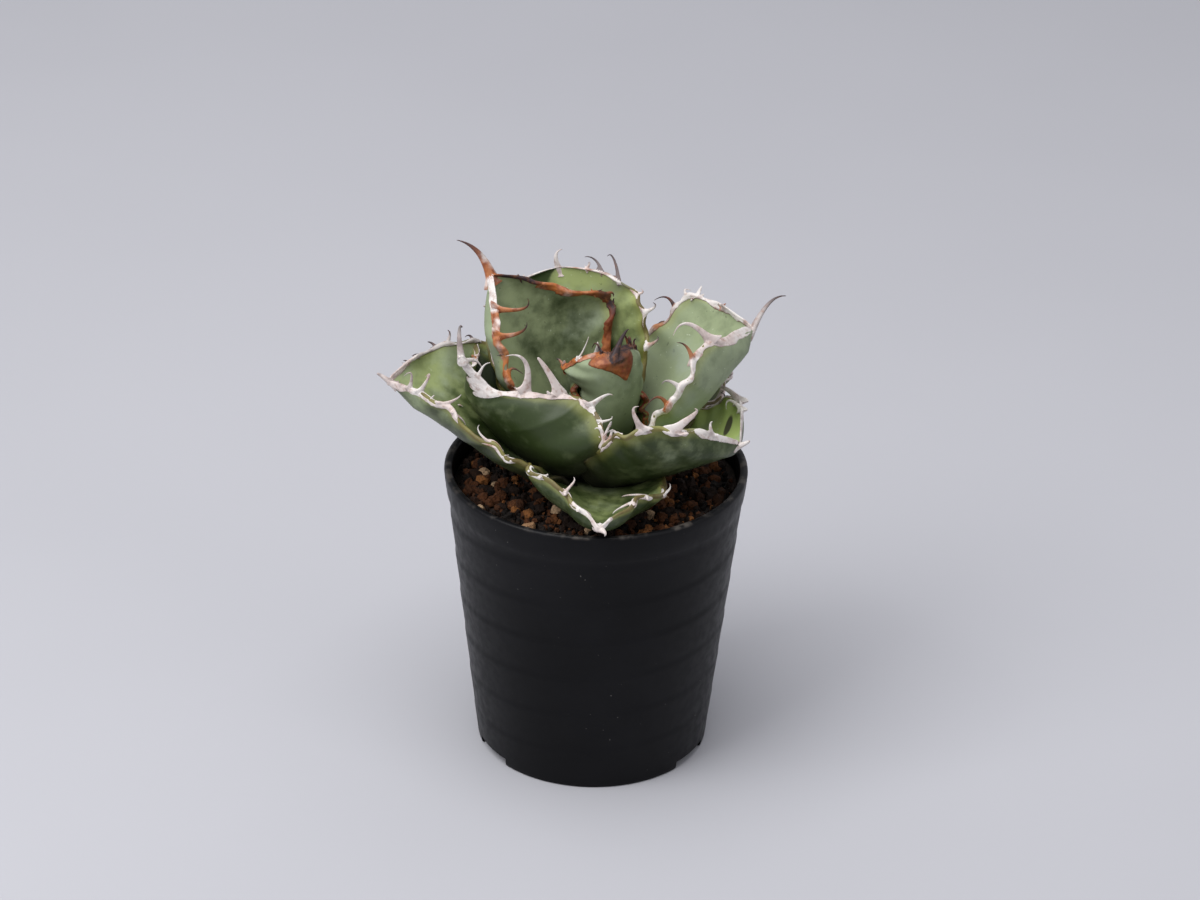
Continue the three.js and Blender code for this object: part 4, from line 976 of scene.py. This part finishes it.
def pot_cutters():
    """The gaps in the foot and the drain holes in the floor, as one object."""
    work = bmesh.new()
    width = 2 * POT["foot_radius"] * math.sin(math.radians(NOTCH["angle"] / 2)) * MM
    size = Matrix.Diagonal(Vector((NOTCH["depth"] * MM, width, 2 * NOTCH["height"] * MM, 1)))
    place = Matrix.Translation(Vector(((POT["foot_radius"] - NOTCH["inset"]) * MM, 0, 0)))
    for i in range(NOTCH["count"]):
        turn = Matrix.Rotation(math.radians(NOTCH["first"] + 360 * i / NOTCH["count"]), 4, "Z")
        bmesh.ops.create_cube(work, size=1, matrix=turn @ place @ size)
    holes = [(0, 0, DRAINS["middle"])]
    for t in np.arange(DRAINS["count"]) * 2 * math.pi / DRAINS["count"]:
        holes.append((DRAINS["circle"] * math.cos(t), DRAINS["circle"] * math.sin(t), DRAINS["radius"]))
    for x, y, radius in holes:
        place = Matrix.Translation(Vector((x, y, POT["floor_top"])) * MM)
        bmesh.ops.create_cone(
            work, cap_ends=True, segments=40, radius1=radius * MM, radius2=radius * MM,
            depth=DRAINS["depth"] * MM, matrix=place,
        )
    bmesh.ops.translate(work, verts=work.verts, vec=POT_AXIS)
    mesh = bpy.data.meshes.new("cutters")
    work.to_mesh(mesh)
    work.free()
    return put("cutters", mesh)


def cut_from(thing, cutter):
    cut = thing.modifiers.new("cut", "BOOLEAN")
    cut.operation = "DIFFERENCE"
    cut.solver = "EXACT"
    cut.object = cutter
    baked(thing)
    bpy.data.objects.remove(cutter)
    shade_smooth(thing.data)
    thing.data.set_sharp_from_angle(angle=math.radians(38))


# ---------------------------------------------------------------- soil

def soil_height(x, y):
    mound = SOIL["mound"] * (1 - math.hypot(x, y) / 49.0)
    return SOIL["level"] + mound + SOIL["rough"] * noise.noise(Vector((x, y, 3)) * 0.16)


def circle(radius, count, height_at):
    """Points round the pot's axis, each as high as the function of its place says."""
    points = []
    for i in range(count):
        turn = i * 2 * math.pi / count
        x, y = radius * math.cos(turn), radius * math.sin(turn)
        points.append((x, y, height_at(x, y)))
    return points


def soil_bed():
    """The filling under the loose grains, down to the pot's floor."""
    turns, rings = 96, 26
    edge = wall_radius(SOIL["level"]) - POT["wall"] - SOIL["clear"]
    base = POT["floor_top"] + 0.4
    points = circle(0.01, turns, lambda x, y: base)
    points += circle(wall_radius(base) - POT["wall"] - 1.6, turns, lambda x, y: base)
    points += circle(edge, turns, lambda x, y: SOIL["level"] - 1.5)
    for ring in range(rings):
        radius = edge * (1 - ring / (rings - 1)) + 0.01
        points += circle(radius, turns, lambda x, y: soil_height(x, y) - SOIL["under"])
    thing = smooth_object("agave_soil_bed", points, loft_faces(rings + 3, turns)[:-2])
    weld(thing.data, 0.05 * MM)
    face_outwards(thing.data)
    return thing


def grain_shape(name, seed, subdivisions):
    """One lumpy grain, a millimetre in radius, kept out of the scene."""
    work = bmesh.new()
    bmesh.ops.create_icosphere(work, subdivisions=subdivisions, radius=1.0)
    for vert in work.verts:
        lump = noise.noise(vert.co * 1.3 + Vector((seed * 5.3, 0, 0)))
        vert.co *= 1 + 0.55 * lump
        vert.co.z *= 0.82
        vert.co *= MM
    mesh = bpy.data.meshes.new(name)
    work.to_mesh(mesh)
    work.free()
    shade_smooth(mesh, False)
    return bpy.data.objects.new(name, mesh)


def grain_field(name):
    """The open surface that the grains lie on, between the stem and the wall."""
    turns, rings = 72, 14
    edge = wall_radius(SOIL["level"]) - POT["wall"] - 2.2
    points, faces = [], []
    for ring in range(rings):
        points += circle(edge + (SOIL["inner"] - edge) * ring / (rings - 1), turns, soil_height)
    for ring in range(rings - 1):
        for i in range(turns):
            a, b = ring * turns + i, ring * turns + (i + 1) % turns
            faces.append((a, b, b + turns, a + turns))
    mesh = bpy.data.meshes.new("grain_field")
    mesh.from_pydata(in_place(points), [], faces)
    return put(name, mesh)


def scatter_tree(shapes, material):
    """Nodes that scatter grains over a surface: inputs for density, sizes and seed, and a kind for each."""
    tree = bpy.data.node_groups.new("scatter_grains", "GeometryNodeTree")
    face, new, link = tree.interface, tree.nodes.new, tree.links.new
    face.new_socket("Geometry", in_out="INPUT", socket_type="NodeSocketGeometry")
    sockets = {}
    for name in ("Density", "Smallest", "Largest", "Seed", "Darkest", "Palest"):
        kind = "NodeSocketInt" if name == "Seed" else "NodeSocketFloat"
        sockets[name] = face.new_socket(name, in_out="INPUT", socket_type=kind).identifier
    face.new_socket("Geometry", in_out="OUTPUT", socket_type="NodeSocketGeometry")
    entry, leave = new("NodeGroupInput"), new("NodeGroupOutput")

    def random_number(low, high, seed):
        node = new("FunctionNodeRandomValue")
        node.data_type = "FLOAT"
        ends = [socket for socket in node.inputs if socket.type == "VALUE"]
        link(entry.outputs[low], ends[0])
        link(entry.outputs[high], ends[1])
        node.inputs["Seed"].default_value = seed
        return [socket for socket in node.outputs if socket.type == "VALUE"][0]

    points = new("GeometryNodeDistributePointsOnFaces")
    for source, target in (("Geometry", "Mesh"), ("Density", "Density"), ("Seed", "Seed")):
        link(entry.outputs[source], points.inputs[target])
    collection = bpy.data.collections.new("grain_shapes")
    for shape in shapes:
        collection.objects.link(shape)
    source = new("GeometryNodeCollectionInfo")
    for key, value in (("Collection", collection), ("Separate Children", True), ("Reset Children", True)):
        source.inputs[key].default_value = value
    spin = new("FunctionNodeRandomValue")
    spin.data_type = "FLOAT_VECTOR"
    spin.inputs["Max"].default_value = (math.tau, math.tau, math.tau)
    turn = new("FunctionNodeEulerToRotation")
    link(spin.outputs["Value"], turn.inputs["Euler"])
    place = new("GeometryNodeInstanceOnPoints")
    place.inputs["Pick Instance"].default_value = True
    for output, target in (
        (points.outputs["Points"], "Points"), (source.outputs["Instances"], "Instance"),
        (turn.outputs["Rotation"], "Rotation"), (random_number("Smallest", "Largest", 5), "Scale"),
    ):
        link(output, place.inputs[target])
    store = new("GeometryNodeStoreNamedAttribute")
    store.data_type = "FLOAT"
    store.domain = "INSTANCE"
    store.inputs["Name"].default_value = "kind"
    value_in = [socket for socket in store.inputs if socket.name == "Value" and socket.enabled][0]
    link(random_number("Darkest", "Palest", 17), value_in)
    link(place.outputs["Instances"], store.inputs["Geometry"])
    real = new("GeometryNodeRealizeInstances")
    paint = new("GeometryNodeSetMaterial")
    paint.inputs["Material"].default_value = material
    link(store.outputs["Geometry"], real.inputs["Geometry"])
    link(real.outputs["Geometry"], paint.inputs["Geometry"])
    link(paint.outputs["Geometry"], leave.inputs["Geometry"])
    return tree, sockets


def scatter(name, sizes, subdivisions, material):
    """Loose grains over the soil, as one mesh."""
    shapes = [grain_shape(f"{name}_shape_{i}", i + sizes["seed"], subdivisions) for i in range(5)]
    tree, sockets = scatter_tree(shapes, material)
    field = grain_field(name)
    grains = field.modifiers.new("scatter", "NODES")
    grains.node_group = tree
    darkest, palest = sizes["pale"]
    for key, value in (
        ("Density", sizes["density"]), ("Smallest", sizes["small"] * sizes["size"]),
        ("Largest", sizes["large"] * sizes["size"]), ("Seed", sizes["seed"]), ("Darkest", darkest),
        ("Palest", palest),
    ):
        grains[sockets[key]] = value
    baked(field)
    for shape in shapes:
        bpy.data.objects.remove(shape)
    return field


# ---------------------------------------------------------------- bud

def bud_object():
    """The rolled young leaves in the middle: a leaning cone with a seam that winds up it."""
    rings, sides = BUD["rings"], BUD["sides"]
    points, along = [], []
    for ring in range(rings):
        share = ring / (rings - 1)
        swell = math.sin(math.pi * min(0.5, 0.32 + share * 0.5))
        radius = BUD["radius"] * swell * (1 - share**1.7) + 0.12
        for i in range(sides):
            turn = i * 2 * math.pi / sides
            seam = 1 - 0.12 * math.cos(turn - 2.4 * share)
            x = 2 + 1.6 * share + radius * seam * math.cos(turn)
            y = 1 - 0.8 * share + radius * seam * math.sin(turn)
            points.append((x, y, BUD["foot"] + BUD["height"] * share))
            along.append(0.5 + share / 2)
    attributes = {"along": along}
    for key, value in (("across", 0.3), ("outer", 1.0), ("light", 0.5), ("bloom", 1.0), ("blotch", 0.0)):
        attributes[key] = [value] * len(points)
    return smooth_object("agave_bud", points, loft_faces(rings, sides), attributes)


# ---------------------------------------------------------------- camera, floor and light

def set_camera():
    c = CAMERA
    lift, roll = math.radians(c["elevation"]), math.radians(c["roll"])
    ahead = Vector((0, math.cos(lift), -math.sin(lift)))
    right, up = Vector((1, 0, 0)), Vector((0, math.sin(lift), math.cos(lift)))
    data = bpy.data.cameras.new("camera")
    data.lens = c["lens"]
    data.sensor_width = 36
    data.clip_end = 100
    camera = put("camera", data)
    place = (right * c["right"] + up * c["up"] - ahead * c["distance"]) * MM + POT_AXIS
    turned_right = right * math.cos(roll) + up * math.sin(roll)
    turned_up = up * math.cos(roll) - right * math.sin(roll)
    axes = Matrix((turned_right, turned_up, -ahead)).transposed().to_4x4()
    camera.matrix_world = Matrix.Translation(place) @ axes
    bpy.context.scene.camera = camera


def set_stage():
    mesh = bpy.data.meshes.new("studio_floor")
    corners = [(FLOOR_HALF * x, FLOOR_HALF * y, 0) for x, y in ((-1, -1), (1, -1), (1, 1), (-1, 1))]
    mesh.from_pydata(corners, [], [(0, 1, 2, 3)])
    floor = put("studio_floor", mesh)
    mesh.materials.append(plain_material("pale_floor", rgb(170, 170, 175), rgb(166, 166, 171), 1.5, 0.8))


def set_lights():
    for name, place, size, power in LIGHTS:
        data = bpy.data.lights.new(name, "AREA")
        data.shape = "RECTANGLE"
        data.size, data.size_y = size
        data.energy = power
        light = put(name, data)
        light.location = place
        light.rotation_euler = (Vector(LIGHT_AIM) - Vector(place)).to_track_quat("-Z", "Y").to_euler()
    world = bpy.data.worlds.new("studio")
    bpy.context.scene.world = world
    world.use_nodes = True
    sky = world.node_tree.nodes["Background"].inputs
    sky["Color"].default_value = rgb(225, 226, 232)
    sky["Strength"].default_value = 0.8
    bpy.context.scene.view_settings.view_transform = "Standard"


# ---------------------------------------------------------------- making the plant

set_camera()
set_stage()
set_lights()

# The second colour is each leaf's dark foot: partly the flesh's own colour, partly painted shade near the
# soil and under the leaves.
LEAF_FINISH = {
    "old": leaf_material("old_leaf", rgb(27, 23, 20)), "young": leaf_material("young_leaf", rgb(74, 86, 50)),
}
HORN_FINISH = horn_material("horn", rgb(206, 200, 196), rgb(166, 106, 68), rgb(46, 32, 34))
SLOTS = {"old": "leaf", "young": "young_leaf"}
BROWN = {"heart_front", "heart_back", "back_left"}

for shape in LEAVES:
    name = shape["name"]
    finish_piece(leaf_object(shape), LEAF_FINISH[shape["finish"]], SLOTS[shape["finish"]], "leaf_" + name)
    horn_slot = "brown_horn" if name in BROWN else "pale_horn"
    finish_piece(horn_object(shape), HORN_FINISH, horn_slot, "horn_" + name)
finish_piece(bud_object(), LEAF_FINISH["young"], "young_leaf", "bud")
finish_piece(pot_object(), pot_material(), "pot", "pot")

GRAINS = grain_material()
DAMP_SOIL = plain_material("damp_soil", rgb(40, 26, 18), rgb(20, 14, 11), 500.0, 0.95)
finish_piece(soil_bed(), DAMP_SOIL, "soil", "soil")
finish_piece(scatter("agave_soil_grains", COARSE, 2, GRAINS), GRAINS, "soil", "soil")
finish_piece(scatter("agave_soil_grit", FINE, 1, GRAINS), GRAINS, "soil", "soil")

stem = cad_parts["stem"]
stem.data.materials.clear()
stem.data.materials.append(plain_material("woody_stem", rgb(150, 138, 96), rgb(96, 84, 54), 300.0, 0.8))
